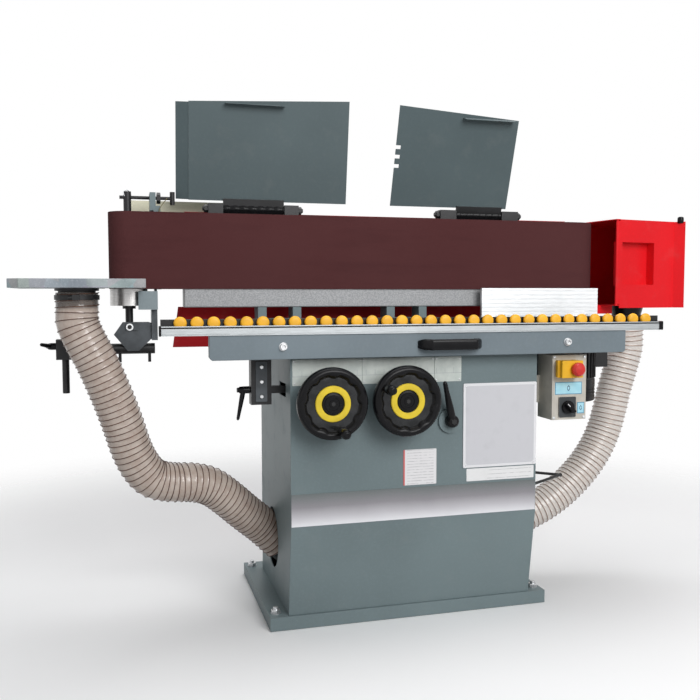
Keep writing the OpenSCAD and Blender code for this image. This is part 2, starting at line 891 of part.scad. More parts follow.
// Bush blocks that ride the guide posts, with lugs to the beam and arms to the guard
module head_bushes() {
  color("gray")
    difference() {
      union()
        for (x = post_xs) {
          block([x - 60, beam_y0, bush_z0], [x + 60, beam_y1, bush_z1]);
          for (s = [-1, 1])
            block([x + s * 48 - 12, beam_y0, bush_z1 - eps], [x + s * 48 + 12, beam_y1, beam_z0]);
          block([x - 20, beam_y1 - eps, bush_z0 + 6], [x + 20, guard_y, bush_z0 + 26]);
        }
      for (x = post_xs)
        rod_z(post_d + 2 * run, x, post_y, bush_z0 - eps, bush_z1 + eps);
    }
}

// Motor with its end bell, flange plate and terminal box
motor_z0 = 607;
motor_z1 = 700;
shaft_drive_d = 28;
module motor_body() {
  flange_z = beam_z0 - flange_t;
  color("lightgray")
    difference() {
      union() {
        rod_z(motor_d, drive_x, yd, motor_z0, motor_z1);
        rod_z(120, drive_x, yd, motor_z1 - eps, flange_z + eps);
        block([beam_x1 - 45, yd - 66, flange_z], [drive_x + 60, yd + 50, beam_z0]);
        block([drive_x + 60, yd - 30, 640], [drive_x + motor_d / 2 + 43, yd + 30, 692]);
      }
      rod_z(shaft_drive_d + 2 * run, drive_x, yd, motor_z0 + 20, beam_z0 + eps);
    }
}

// Fan cowl under the motor
module motor_cowl() {
  r = motor_d / 2 + 2;
  color("black")
    translate([drive_x, yd, motor_z0 - 67])
      rotate_extrude()
        polygon([
          [0, 0], [r - 24, 0], [r - 8, 6], [r, 24], [r, 67], [r - 3, 67], [r - 3, 26],
          [r - 10, 9], [r - 25, 3], [0, 3]
        ]);
}

// Drive drum on its shaft
module drive_drum() {
  r = rd - belt_t - gap;
  color("darkgray") {
    difference() {
      rod_z(2 * r, drive_x, yd, belt_z + 2, belt_top - 2);
      rod_z(2 * r - 20, drive_x, yd, belt_top - 70, belt_top);
      rod_z(2 * r - 20, drive_x, yd, belt_z, belt_z + 70);
    }
    rod_z(44, drive_x, yd, belt_z + 4, belt_top - 10);
    rod_z(shaft_drive_d, drive_x, yd, motor_z0 + 22, belt_z + 5);
  }
}

// Idler drum, longer than the belt is wide
axle_d = 20;
module idler_drum() {
  r = ri - belt_t - gap;
  color("silver")
    difference() {
      rod_z(2 * r, idler_x, yi, belt_z - 44, belt_top - 2);
      rod_z(axle_d + 2 * run, idler_x, yi, belt_z - 45, belt_top);
    }
}

// Idler axle with its slide bar, tracking rod, nut and rod end
bolt_z = belt_z - 100;
bolt_d = 10;
idler_travel = 15;
tension_d = 9;
gusset_y0 = -36;
gusset_y1 = yi - axle_d / 2 - 0.5;
track_z = belt_top + 40;
module idler_carriage() {
  color("dimgray") {
    rod_z(axle_d, idler_x, yi, bolt_z - 10, track_z + 15);
    rod_y(bolt_d, idler_x, gusset_y0 - 8, yi, bolt_z);
    rod_y(20, idler_x, gusset_y0 - 4, gusset_y0 - gap, bolt_z);
    rod_x(tension_d, idler_x - 20, idler_x + 122, yi, track_z);
    translate([idler_x + 75, yi, track_z]) rotate([0, 90, 0]) cylinder(d = 30, h = 10, $fn = 6);
    rod_z(13, idler_x + 116, yi, track_z - 17, track_z + 17);
    rod_z(34, idler_x, yi, belt_z - 52, belt_z - 44 - gap);
  }
}

// Yoke frame: upright, spine to the beam, gusset plate, arm sleeve and guide shoe
upright_x0 = idler_x + 56.5;
module yoke_frame() {
  x0 = upright_x0;
  x1 = x0 + 15;
  color("slategray")
    difference() {
      union() {
        block([x0, -45, arm_z + 23], [x1, 15, belt_z - 50]);
        block([x0, -45, belt_top + 5], [x1, 15, track_z + 12]);
        block([x1 - 6, -45, belt_z - 62], [x1, 15, belt_z + 5]);
        block([x1 - 6, -45, belt_z - 1], [x1 + 12, 15, belt_top + 17]);
        block([x1, -45, belt_z + 50], [beam_x0, -5, belt_z + 150]);
        translate([0, gusset_y1, 0])
          rotate([90, 0, 0])
            linear_extrude(gusset_y1 - gusset_y0)
              polygon([
                [x0 - 74, bolt_z + 13], [x0 - 8, bolt_z + 13], [x0 + 8, bolt_z + 8], [x0 + 8, arm_z + 35],
                [x0 - 34, arm_z - 5], [x0 - 62, arm_z - 5], [x0 - 97, arm_z + 38]
              ]);
        rod_x(28, x0 - 106, x0 + 8, yi, arm_z);
        block([x0, -75, belt_z - 54], [x1, -44, belt_z - 6]);
        block([x0 - 34, -75, belt_z - 54], [x0 + 1, -66, belt_z - 6]);
        for (x = [x0 - 82, x0 - 6])
          rod_z(8, x, yi, arm_z - 36, arm_z - 11);
      }
      rod_x(arm_d + 2 * run, x0 - 107, x0 + 9, yi, arm_z);
      block([idler_x - bolt_d / 2 - 0.6, gusset_y0 - eps, bolt_z - bolt_d / 2 - 0.6],
        [idler_x + idler_travel + bolt_d / 2 + 0.6, gusset_y1 + eps, bolt_z + bolt_d / 2 + 0.6]);
      rod_x(tension_d + 2 * run, x0 - eps, x1 + eps, yi, track_z);
    }
}

// Guard behind the rear belt run
module rear_guard() {
  top = belt_top + 17;
  color("darkred")
    translate([0, guard_y + guard_t, 0])
      rotate([90, 0, 0])
        linear_extrude(guard_t)
          polygon([
            [beam_x0 - 22, guard_z0], [drive_x + 45, guard_z0], [drive_x + 45, top],
            [beam_x0 + 15, top], [beam_x0 + 15, beam_z0], [beam_x0 - 6, beam_z0]
          ]);
}

// Pale panel on the back of the guard
module rear_panel() {
  y0 = guard_y + guard_t;
  color("lightyellow")
    block([idler_x + 10.5, y0, belt_top - 60], [idler_x + 280.5, y0 + 2, belt_top + 45]);
}

// Covers: hinge blocks with their pins on the beam top
left_blocks = [[-514, -474], [-306, -266]];
right_blocks = [[153, 203], [347, 400]];
module hinge_blocks() {
  color("black")
    for (pair = [left_blocks, right_blocks]) {
      for (b = pair)
        block([b[0], cover_axis_y - hinge_block_w / 2, beam_z1],
          [b[1], cover_axis_y + hinge_block_w / 2, cover_axis_z + hinge_block_rise]);
      rod_x(hinge_pin_d, pair[0][0] - 14, pair[1][1] + 14, cover_axis_y, cover_axis_z);
      for (x = [pair[0][0] - 10, pair[1][1]])
        translate([x, cover_axis_y, cover_axis_z]) rotate([0, 90, 0]) cylinder(d = 22, h = 10, $fn = 6);
    }
}

// Belt cover sheet in its own plane: x along the hinge, z up from the axis
module cover_sheet(x0, x1, h0, h1) {
  z = cover_foot;
  translate([0, cover_t / 2, 0])
    rotate([90, 0, 0])
      linear_extrude(cover_t)
        polygon([[x0, z], [x1, z], [x1, z + h1], [x0, z + h0]]);
}
module cover_tube(x0, x1) {
  difference() {
    union() {
      rod_x(tube_d, x0 + 0.5, x1 - 0.5, 0, 0);
      block([x0 + 1, -8, 4], [x1 - 1, cover_t / 2, 28]);
    }
    rod_x(hinge_pin_d + 2 * run, x0, x1, 0, 0);
  }
}
module cover_tab(x0, x1) {
  z = cover_foot + cover_short - 2;
  block([x0, -26, z], [x1, cover_t / 2, z + cover_t]);
}
module leaned(angle) {
  translate([0, cover_axis_y, cover_axis_z]) rotate([angle, 0, 0]) children();
}
module left_cover() {
  x0 = -565;
  x1 = -129;
  flange = 40;
  h_flange = cover_short - 2;
  color("slategray")
    leaned(left_lean) {
      cover_tube(left_blocks[0][1], left_blocks[1][0]);
      cover_sheet(x0, x1, cover_short, cover_tall);
      translate([x0 + 2 * cover_t, 0, 0])
        rotate([0, 0, -25])
          block([-flange, 0.1 - cover_t / 2, cover_foot + 1], [0, cover_t / 2 - 0.1, cover_foot + h_flange]);
      cover_tab(-470, -310);
    }
}
module right_cover() {
  x0 = 1;
  x1 = 362;
  color("slategray")
    leaned(right_lean)
      difference() {
        union() {
          cover_tube(right_blocks[0][1], right_blocks[1][0]);
          cover_sheet(x0, x1, cover_tall, cover_short);
          cover_tab(190, 345);
        }
        for (z = [130, 156, 182])
          block([x0 - eps, -cover_t, z], [x0 + 14, cover_t, z + 10]);
      }
}

// Things placed in the hood's own frame: u along the front, v into the depth
module in_hood() {
  translate([hood_x, hood_y, 0]) rotate([0, 0, hood_turn]) children();
}
hood_floor_z = beam_z0;
door_pin_d = 8;
module hood() {
  color("red")
    difference() {
      union() {
        in_hood() {
          block([0, 0, hood_floor_z], [hood_w, hood_depth, hood_floor_z + hood_t]);
          block([0, 0, hood_z1 - hood_t], [hood_w, hood_depth, hood_z1]);
          block([0, hood_depth - hood_t, hood_z0], [hood_w, hood_depth, hood_z1]);
          block([hood_w - hood_t, 0, hood_z0], [hood_w, hood_depth, hood_z1]);
          block([-40, 60, hood_floor_z], [eps, 120, hood_floor_z + hood_t]);
          for (z = [hood_floor_z, hood_z1 - hood_t])
            block([0, -10, z], [16, eps, z + hood_t]);
        }
        translate([spigot_x, spigot_y, hood_floor_z - 28])
          cylinder(d1 = spigot_d, d2 = hose_d, h = 28 + hood_t / 2);
        rod_z(spigot_d, spigot_x, spigot_y, hood_floor_z - 66, hood_floor_z - 27);
      }
      in_hood()
        for (z = [hood_floor_z, hood_z1 - hood_t])
          rod_z(door_pin_d + 2 * run, 8, -4, z - eps, z + hood_t + eps);
      rod_z(spigot_in_d, spigot_x, spigot_y, hood_floor_z - 67, hood_floor_z + hood_t + eps);
    }
}
module hood_door() {
  y0 = -4 - hood_t / 2;
  y1 = -4 + hood_t / 2;
  lip = 33;
  pocket = [28, 30, hood_z0 + 70];
  pocket_w = 127;
  z_low = hood_floor_z + hood_t + 2;
  z_high = hood_z1 - hood_t - 2;
  color("red")
    in_hood() {
      difference() {
        union() {
          block([20, y0, hood_z0], [hood_w + 2, y1, hood_z1]);
          block([8, y0, z_low], [21, y1, z_high]);
          translate([hood_w + 2, -4, 0])
            rotate([0, 0, -50])
              block([-1, -hood_t / 2, hood_z0], [lip, hood_t / 2, hood_z1]);
          block([pocket.x - hood_t, y0 + 0.5, pocket.z - hood_t],
            [pocket.x + pocket_w + hood_t, y0 + pocket.y + hood_t, pocket.z + pocket_w + hood_t]);
        }
        block([pocket.x, y0 - eps, pocket.z],
          [pocket.x + pocket_w, y0 + pocket.y, pocket.z + pocket_w]);
      }
      rod_z(door_pin_d, 8, -4, hood_floor_z, hood_z1);
    }
  color("black")
    in_hood()
      translate([hood_w + 14, -4, hood_z1 - 2])
        rod_z(16, 0, -14, 0, 14);
}

// Side table arm with its clamp block
module aux_arm() {
  h = clamp_w / 2;
  color("black")
    difference() {
      union() {
        block([side_post_x - h, yi - h, arm_z - 25], [side_post_x + h, yi + h, arm_z + 27]);
        rod_x(arm_d, side_post_x + h - 6, upright_x0 + 6, yi, arm_z);
      }
      rod_z(side_post_d + 2 * run, side_post_x, yi, arm_z - 26, arm_z + 28);
      rod_x(8 + 2 * run, side_post_x - h - eps, side_post_x, yi, arm_z + 9);
    }
}

// Side table with a notch round the idler, its post and the dust port
module aux_table() {
  x0 = -1003;
  x1 = -686;
  y0 = -225;
  y1 = 70;
  c = 28;
  notch = ri + 12;
  color("slategray")
    difference() {
      union() {
        translate([0, 0, side_z])
          linear_extrude(side_t)
            polygon([[x0, y0 + c], [x0 + c, y0], [x1, y0], [x1, y1], [x0, y1]]);
        rod_z(side_post_d, side_post_x, yi, 608, side_z + eps);
        rod_z(hose_d + 1, port_x, port_y, left_route[0].z + stroke + 1, side_z + eps);
        rod_z(spigot_d, port_x, port_y, left_route[0].z - 36, side_z);
      }
      block([idler_x - notch, yi - notch, side_z - 20], [x1 + eps, y1 + eps, side_z + side_t + eps]);
      rod_z(spigot_in_d, port_x, port_y, left_route[0].z - 37, side_z + side_t + eps);
    }
}

// Clamp lever of the side table
module aux_lever() {
  x1 = side_post_x - clamp_w / 2 - gap;
  z = arm_z + 9;
  color("black") {
    rod_x(18, x1 - 22, x1, yi, z);
    rod_x(8, x1 - 4, side_post_x - side_post_d / 2 - 2, yi, z);
    strut([x1 - 12, yi, z], [x1 - 34, yi - 30, z + 6], 9);
    translate([x1 - 34, yi - 30, z + 6]) sphere(d = 13);
  }
}

module left_hose() { color("tan") ribbed_hose(left_route); }
module right_hose() { color("tan") ribbed_hose(right_route); }

base_plate();
column();
frame_fasteners();
front_plates();
control_box();
control_lid();
switch_housing();
switch_flap();
stop_button();
start_button();
rotary_knob();
hose_hook();
dust_duct();
head_saddle();
shaft_bushes();
height_wheel();
height_ring();
height_shaft();
height_grip();
infeed_wheel();
infeed_ring();
infeed_screw();
infeed_grip();
cross_carriage();
bevel_pinion();
lift_screw();
front_lever();
side_lever();
table_top();
table_apron();
table_rail();
rollers();
pull_handle();
apron_bolts();
stop_bar();
guide_bars();
lift_nut();
platen_beam();
platen_pad();
sanding_belt();
head_bushes();
motor_body();
motor_cowl();
yoke_frame();
rear_guard();
rear_panel();
hinge_blocks();
drive_drum();
idler_drum();
idler_carriage();
left_cover();
right_cover();
hood();
hood_door();
aux_arm();
aux_table();
aux_lever();
left_hose();
right_hose();
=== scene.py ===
import json
import math

import bmesh
import bpy
from mathutils import Matrix, Vector
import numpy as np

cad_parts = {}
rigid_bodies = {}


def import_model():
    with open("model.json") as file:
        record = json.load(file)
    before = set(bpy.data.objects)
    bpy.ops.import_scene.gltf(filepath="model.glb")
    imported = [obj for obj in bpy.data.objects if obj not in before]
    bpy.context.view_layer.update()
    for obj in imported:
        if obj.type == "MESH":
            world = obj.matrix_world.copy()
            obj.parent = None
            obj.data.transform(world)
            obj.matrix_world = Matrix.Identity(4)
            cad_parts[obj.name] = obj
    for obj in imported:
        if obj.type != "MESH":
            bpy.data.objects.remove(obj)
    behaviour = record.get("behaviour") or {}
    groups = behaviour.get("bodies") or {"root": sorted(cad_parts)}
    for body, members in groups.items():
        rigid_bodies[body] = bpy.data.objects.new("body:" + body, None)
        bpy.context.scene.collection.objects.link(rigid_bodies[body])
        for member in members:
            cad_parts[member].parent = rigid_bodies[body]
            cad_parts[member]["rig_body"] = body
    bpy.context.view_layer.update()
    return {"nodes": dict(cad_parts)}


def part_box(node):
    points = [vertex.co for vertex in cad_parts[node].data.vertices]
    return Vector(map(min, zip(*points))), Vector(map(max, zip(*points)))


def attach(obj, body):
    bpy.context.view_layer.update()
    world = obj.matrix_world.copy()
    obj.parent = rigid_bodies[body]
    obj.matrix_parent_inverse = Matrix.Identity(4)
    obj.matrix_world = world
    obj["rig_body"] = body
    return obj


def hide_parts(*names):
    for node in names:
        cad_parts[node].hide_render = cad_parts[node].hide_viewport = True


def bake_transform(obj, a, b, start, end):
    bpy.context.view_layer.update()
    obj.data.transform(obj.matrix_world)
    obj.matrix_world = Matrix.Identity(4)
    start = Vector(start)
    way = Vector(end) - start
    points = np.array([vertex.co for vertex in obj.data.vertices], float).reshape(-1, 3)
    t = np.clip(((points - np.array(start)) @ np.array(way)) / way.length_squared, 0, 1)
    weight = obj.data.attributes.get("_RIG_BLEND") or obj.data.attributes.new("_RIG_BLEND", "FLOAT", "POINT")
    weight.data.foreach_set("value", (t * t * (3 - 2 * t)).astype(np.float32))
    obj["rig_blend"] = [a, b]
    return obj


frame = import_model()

NODES = frame["nodes"]
MM = 0.001


# Camera at the photograph's angle

def make_camera():
    lens = bpy.data.cameras.new("front_camera")
    lens.lens = 42.88
    lens.sensor_width = 36.0
    lens.clip_start, lens.clip_end = 0.05, 60.0
    camera = bpy.data.objects.new("front_camera", lens)
    camera.location = (-0.752, -2.302, 0.861)
    camera.rotation_euler = (math.radians(86.29), math.radians(0.06), math.radians(-15.53))
    bpy.context.scene.collection.objects.link(camera)
    bpy.context.scene.camera = camera


make_camera()
bpy.context.scene.view_settings.view_transform = "Standard"


# Shader building

class Signal:
    """An output socket. Used in an expression, it adds Math nodes."""

    def __init__(self, finish, socket):
        self.finish = finish
        self.socket = socket

    def maths(self, operation, *terms):
        return self.finish.node("ShaderNodeMath", {"operation": operation}, dict(enumerate(terms)))

    def __add__(self, other):
        return self.maths("ADD", self, other)

    __radd__ = __add__

    def __mul__(self, other):
        return self.maths("MULTIPLY", self, other)

    __rmul__ = __mul__

    def __sub__(self, other):
        return self.maths("SUBTRACT", self, other)

    def __rsub__(self, other):
        return self.maths("SUBTRACT", other, self)

    def __truediv__(self, other):
        return self.maths("DIVIDE", self, other)

    def __rtruediv__(self, other):
        return self.maths("DIVIDE", other, self)

    def __pow__(self, other):
        return self.maths("POWER", self, other)

    def __gt__(self, other):
        return self.maths("GREATER_THAN", self, other)

    def __lt__(self, other):
        return self.maths("LESS_THAN", self, other)

    def __abs__(self):
        return self.maths("ABSOLUTE", self)

    def __mod__(self, other):
        return self.maths("FLOORED_MODULO", self, other)

    def sine(self):
        return self.maths("SINE", self)

    def clamped(self):
        return self.maths("MINIMUM", self.maths("MAXIMUM", self, 0.0), 1.0)

    def step(self, low, high):
        """0 below low, 1 above high and smooth between."""
        return self.finish.node(
            "ShaderNodeMapRange",
            {"interpolation_type": "SMOOTHSTEP"},
            {"Value": self, "From Min": low, "From Max": high},
        )


class Finish:
    """One material, or the world, and the nodes in it."""

    def __init__(self, name, holder=None):
        self.material = holder or bpy.data.materials.new(name)
        self.material.use_nodes = True
        self.tree = self.material.node_tree
        self.tree.nodes.clear()

    def node(self, kind, settings=None, sockets=None, output=0):
        made = self.tree.nodes.new(kind)
        for key, value in (settings or {}).items():
            if key == "stops":
                self.set_stops(made.color_ramp, value)
            else:
                setattr(made, key, value)
        for key, value in (sockets or {}).items():
            if isinstance(value, Signal):
                self.tree.links.new(value.socket, made.inputs[key])
            else:
                made.inputs[key].default_value = value
        return Signal(self, made.outputs[output]) if len(made.outputs) else None

    def set_stops(self, ramp, stops):
        while len(ramp.elements) < len(stops):
            ramp.elements.new(1.0)
        for element, (place, colour) in zip(ramp.elements, stops):
            element.position = place
            element.color = (*colour, 1.0)

    def place(self):
        return self.node("ShaderNodeTexCoord", output="Object")

    def along(self, axis):
        """A coordinate of the piece in millimetres."""
        parts = self.node("ShaderNodeSeparateXYZ", None, {0: self.place()}, axis)
        return parts * 1000.0

    def noise(self, size, detail=2.0, rough=0.5, stretch=(1, 1, 1)):
        """Cloudy variation from 0 to 1 with features of about size millimetres."""
        scale = [s * 1000.0 / size for s in stretch]
        spot = self.node("ShaderNodeVectorMath", {"operation": "MULTIPLY"}, {0: self.place(), 1: scale})
        return self.node(
            "ShaderNodeTexNoise", None,
            {"Vector": spot, "Scale": 1.0, "Detail": detail, "Roughness": rough}, "Fac",
        )

    def cells(self, size, feature="F1", output="Distance"):
        return self.node(
            "ShaderNodeTexVoronoi", {"feature": feature},
            {"Vector": self.place(), "Scale": 1000.0 / size}, output,
        )

    def mix(self, share, first, second):
        first, second = ((*c, 1.0) if isinstance(c, tuple) else c for c in (first, second))
        return self.node("ShaderNodeMix", {"data_type": "RGBA"}, {0: share, 6: first, 7: second}, 2)

    def edges(self, radius):
        """Near 1 on outside and inside edges, 0 on flats."""
        eased_way = self.node("ShaderNodeBevel", {"samples": 4}, {"Radius": radius * MM})
        face_way = self.node("ShaderNodeNewGeometry", output="Normal")
        same = self.node(
            "ShaderNodeVectorMath", {"operation": "DOT_PRODUCT"}, {0: eased_way, 1: face_way}, "Value",
        )
        return (1.0 - same).step(0.02, 0.22)

    def bump(self, height, depth, strength):
        sockets = {"Height": height, "Distance": depth * MM, "Strength": strength}
        return self.node("ShaderNodeBump", None, sockets, "Normal")

    def surface(self, colour, roughness, metallic, normal, alpha=1.0, coat=0.0, constants=None):
        sockets = {
            "Base Color": colour,
            "Roughness": roughness,
            "Metallic": metallic,
            "Normal": normal,
            "Alpha": alpha,
            "Coat Weight": coat,
            **(constants or {}),
        }
        shader = self.node("ShaderNodeBsdfPrincipled", None, sockets)
        self.node("ShaderNodeOutputMaterial", None, {"Surface": shader})
        return self.material


def shade(colour, share):
    return tuple(c * share for c in colour)


def machine_paint(name, colour, worn=(0.30, 0.33, 0.34), gloss=0.36, scuff=0.35, shine=0.2):
    """Sprayed paint: slow tone drift, orange peel, a little dust and scuffed edges."""
    f = Finish(name)
    drift = f.noise(420, 3.0)
    specks = f.noise(7, 2.0, 0.65)
    dust = f.noise(60, 5.0, 0.65).step(0.52, 0.8)
    tone = f.mix(drift.step(0.3, 0.7), shade(colour, 0.90), shade(colour, 1.09))
    tone = f.mix(specks.step(0.45, 0.75) * 0.16, tone, shade(colour, 1.35))
    tone = f.mix(dust * 0.07, tone, (0.36, 0.35, 0.33))
    edge = f.edges(2.5) * f.noise(16, 4.0, 0.7).step(0.40, 0.62) * scuff
    tone = f.mix(edge, tone, worn)
    peel = f.noise(2.6, 2.0) + 0.4 * f.noise(11, 1.0)
    rough = gloss + 0.10 * drift + 0.16 * dust + 0.2 * edge
    return f.surface(tone, rough, 0.0, f.bump(peel, 0.10, 0.5), constants={"Specular IOR Level": shine})


def bare_metal(name, colour, brushing=(1, 1, 1), grain=3.0, gloss=0.28, scratch=0.5, streak=0.16):
    """Machined metal with a brushed grain, faint stains and bright edges."""
    f = Finish(name)
    grain_line = f.noise(grain, 4.0, 0.7, brushing)
    stain = f.noise(90, 4.0, 0.6)
    edge = f.edges(1.5)
    tone = f.mix(grain_line.step(0.3, 0.7), shade(colour, 1 - streak), shade(colour, 1 + streak * 0.6))
    tone = f.mix(stain.step(0.55, 0.8) * 0.35, tone, shade(colour, 0.68))
    tone = f.mix(edge * 0.4, tone, shade(colour, 1.25))
    rough = gloss + 0.16 * grain_line + 0.12 * stain
    return f.surface(tone, rough, 1.0, f.bump(grain_line, 0.06, scratch))


def cast_iron(name, colour, gloss=0.5, rubbed=0.55):
    """Dark oiled iron with a rough skin and rubbed corners."""
    f = Finish(name)
    skin = f.noise(3.5, 5.0, 0.7)
    patch = f.noise(50, 3.0)
    edge = f.edges(2.0) * f.noise(9, 3.0).step(0.4, 0.6)
    tone = f.mix(patch.step(0.3, 0.7), shade(colour, 0.75), shade(colour, 1.3))
    tone = f.mix(edge * rubbed, tone, (0.24, 0.24, 0.24))
    return f.surface(tone, gloss + 0.18 * skin - 0.1 * edge, 0.35, f.bump(skin, 0.25, 0.6))


def moulded(name, colour, gloss=0.34, texture=1.0, coat=0.0, edge=0.25, shine=0.35):
    """Moulded plastic with a fine skin, slight mottle and handled spots."""
    f = Finish(name)
    skin = f.noise(texture, 2.0)
    mottle = f.noise(38, 3.0)
    handled = f.noise(22, 4.0, 0.6).step(0.5, 0.75)
    tone = f.mix(mottle.step(0.3, 0.7), shade(colour, 0.9), shade(colour, 1.1))
    tone = f.mix(f.edges(1.5) * edge, tone, tuple(min(1.0, 0.03 + c * 1.3) for c in colour))
    rough = gloss + 0.10 * mottle + 0.10 * handled
    constants = {"Specular IOR Level": shine}
    return f.surface(tone, rough, 0.0, f.bump(skin, 0.05, 0.5), coat=coat, constants=constants)


def belt_cloth():
    """Abrasive cloth: dense grit over a maroon resin coat, slight streaks along the run."""
    f = Finish("belt_cloth")
    grit = f.noise(1.1, 3.0, 0.75)
    clump = f.cells(2.2)
    streak = f.noise(26, 3.0, 0.5, (0.12, 0.12, 1.0))
    cloud = f.noise(240, 3.0)
    tone = f.mix(grit.step(0.35, 0.68), (0.058, 0.019, 0.020), (0.122, 0.042, 0.043))
    tone = f.mix(cloud.step(0.35, 0.7) * 0.30, tone, (0.104, 0.040, 0.041))
    tone = f.mix(streak.step(0.5, 0.8) * 0.22, tone, (0.046, 0.016, 0.018))
    height = grit + 0.6 * (1.0 - clump)
    shine = {"Specular IOR Level": 0.08}
    return f.surface(tone, 0.78 + 0.14 * grit, 0.0, f.bump(height, 0.30, 0.6), constants=shine)


def belt_backing():
    """Cloth side of the belt with its weave."""
    f = Finish("belt_backing")
    thread = 1.6
    across = (f.along("Z") * (2 * math.pi / thread)).sine()
    run = (f.along("X") * (2 * math.pi / thread)).sine()
    weave = (across * run).step(-0.6, 0.6)
    wear = f.noise(70, 4.0)
    tone = f.mix(weave, (0.20, 0.13, 0.09), (0.33, 0.24, 0.17))
    tone = f.mix(wear.step(0.4, 0.75) * 0.5, tone, (0.11, 0.085, 0.075))
    return f.surface(tone, 0.9, 0.0, f.bump(weave, 0.2, 0.5))


def beam_casting():
    """Silver hammer finish of the platen beam: cells with soft rims and dust."""
    f = Finish("beam_hammer_finish")
    cell = f.cells(3.4, "SMOOTH_F1")
    fleck = f.noise(1.8, 3.0, 0.7)
    cloud = f.noise(130, 4.0, 0.6)
    tone = f.mix(cell.step(0.15, 0.62), (0.355, 0.355, 0.365), (0.26, 0.265, 0.27))
    tone = f.mix(fleck.step(0.52, 0.75) * 0.4, tone, (0.58, 0.58, 0.59))
    tone = f.mix(cloud.step(0.5, 0.8) * 0.22, tone, (0.21, 0.20, 0.20))
    return f.surface(tone, 0.40 + 0.2 * fleck, 0.35, f.bump(cell + 0.3 * fleck, 0.30, 0.6))


def galvanised_plate():
    """Grey plate of the side table with a mottled zinc bloom."""
    f = Finish("zinc_plate")
    bloom = f.cells(34, "F1", "Color")
    fine = f.noise(4, 4.0, 0.65)
    cloud = f.noise(80, 3.0)
    tone = f.mix(cloud.step(0.3, 0.7), (0.19, 0.22, 0.23), (0.32, 0.355, 0.365))
    tone = f.mix(fine.step(0.5, 0.75) * 0.4, tone, (0.50, 0.53, 0.54))
    overlay = {"data_type": "RGBA", "blend_type": "OVERLAY"}
    tone = f.node("ShaderNodeMix", overlay, {0: 0.10, 6: tone, 7: bloom}, 2)
    tone = f.mix(f.edges(2.0) * 0.4, tone, (0.55, 0.57, 0.58))
    return f.surface(tone, 0.42 + 0.14 * fine, 0.55, f.bump(fine, 0.08, 0.5))


def turned_black():
    """Black lacquered web of a handwheel with fine turning marks and a soft sheen."""
    f = Finish("turned_black")
    cloud = f.noise(30, 3.0)
    fine = f.noise(0.9, 2.0)
    tone = f.mix(cloud.step(0.3, 0.7), (0.011, 0.012, 0.013), (0.028, 0.029, 0.031))
    return f.surface(tone, 0.22 + 0.10 * cloud, 0.75, f.bump(fine, 0.03, 0.4), coat=0.25)


def cleaner_side(finish):
    """0 on the left hose and 1 on the right one, which has carried less dust."""
    return finish.along("X").step(-200.0, 300.0)


def hose_film():
    """Clear plastic film of the dust hose, dusty inside, tinted by what it carries, with painted glints on its
    crinkles.
    """
    f = Finish("hose_film")
    dust = f.noise(34, 4.0, 0.65)
    crinkle_and_glints = f.noise(7, 3.0, 0.6)
    over_collar = f.along("Z").step(826.0, 838.0)
    cleaner = cleaner_side(f)
    dusty = dust.step(0.3, 0.75)
    tone = f.mix(
        cleaner,
        f.mix(dusty, (0.76, 0.65, 0.57), (0.54, 0.425, 0.36)),
        f.mix(dusty, (0.97, 0.92, 0.87), (0.90, 0.82, 0.75)),
    )
    # painted highlight: pale patches on the crinkles stand for glints of light on the film
    tone = f.mix(crinkle_and_glints.step(0.55, 0.8) * 0.4, tone, (0.88, 0.84, 0.80))
    tone = f.mix(over_collar * 0.8, tone, (0.055, 0.045, 0.040))
    alpha = 0.54 + 0.24 * dust - 0.16 * cleaner
    shine = {"Specular IOR Level": 0.6}
    return f.surface(tone, 0.11 + 0.13 * dust, 0.0, f.bump(crinkle_and_glints, 0.5, 0.25), alpha=alpha, constants=shine)


def spiral_wire():
    """Copper-plated wire of the hoses, dulled in places."""
    f = Finish("spiral_wire")
    dull = f.noise(18, 3.0)
    dulled = dull.step(0.35, 0.7)
    tone = f.mix(
        cleaner_side(f),
        f.mix(dulled, (0.055, 0.026, 0.018), (0.125, 0.062, 0.040)),
        f.mix(dulled, (0.20, 0.12, 0.09), (0.34, 0.23, 0.18)),
    )
    return f.surface(tone, 0.35 + 0.25 * dull, 0.4, f.bump(f.noise(1.5), 0.03, 0.4))


# Plates on the column front and labels of the control box: left, low, right and high edge

SILVER_BAND = (-340, 277, 339, 360)
DATA_PLATE = (-42, 366, 50, 460)
LABEL_PLATE = (136, 366, 334, 400)
SWITCH_LABEL = (387.0, 592.5, 469.0, 626.5)
ROTARY_LABEL = (455.0, 539.0, 477.0, 570.0)


def silver_band():
    """Printed band: silver grey that pales downwards."""
    f = Finish("silver_band")
    low, high = SILVER_BAND[1], SILVER_BAND[3]
    rise = (f.along("Z") - low) / (high - low)
    fleck = f.noise(2.0, 2.0)
    cloud = f.noise(110, 3.0)
    pale_to_grey = [
        (0.0, (0.80, 0.80, 0.83)),
        (0.28, (0.52, 0.51, 0.54)),
        (0.6, (0.26, 0.25, 0.27)),
        (1.0, (0.13, 0.15, 0.15)),
    ]
    uneven = rise + 0.12 * (cloud - 0.5)
    tone = f.node("ShaderNodeValToRGB", {"stops": pale_to_grey}, {"Fac": uneven}, "Color")
    tone = f.mix(fleck.step(0.55, 0.8) * 0.12, tone, (0.9, 0.9, 0.92))
    return f.surface(tone, 0.34 + 0.1 * cloud, 0.12, f.bump(fleck, 0.03, 0.3))


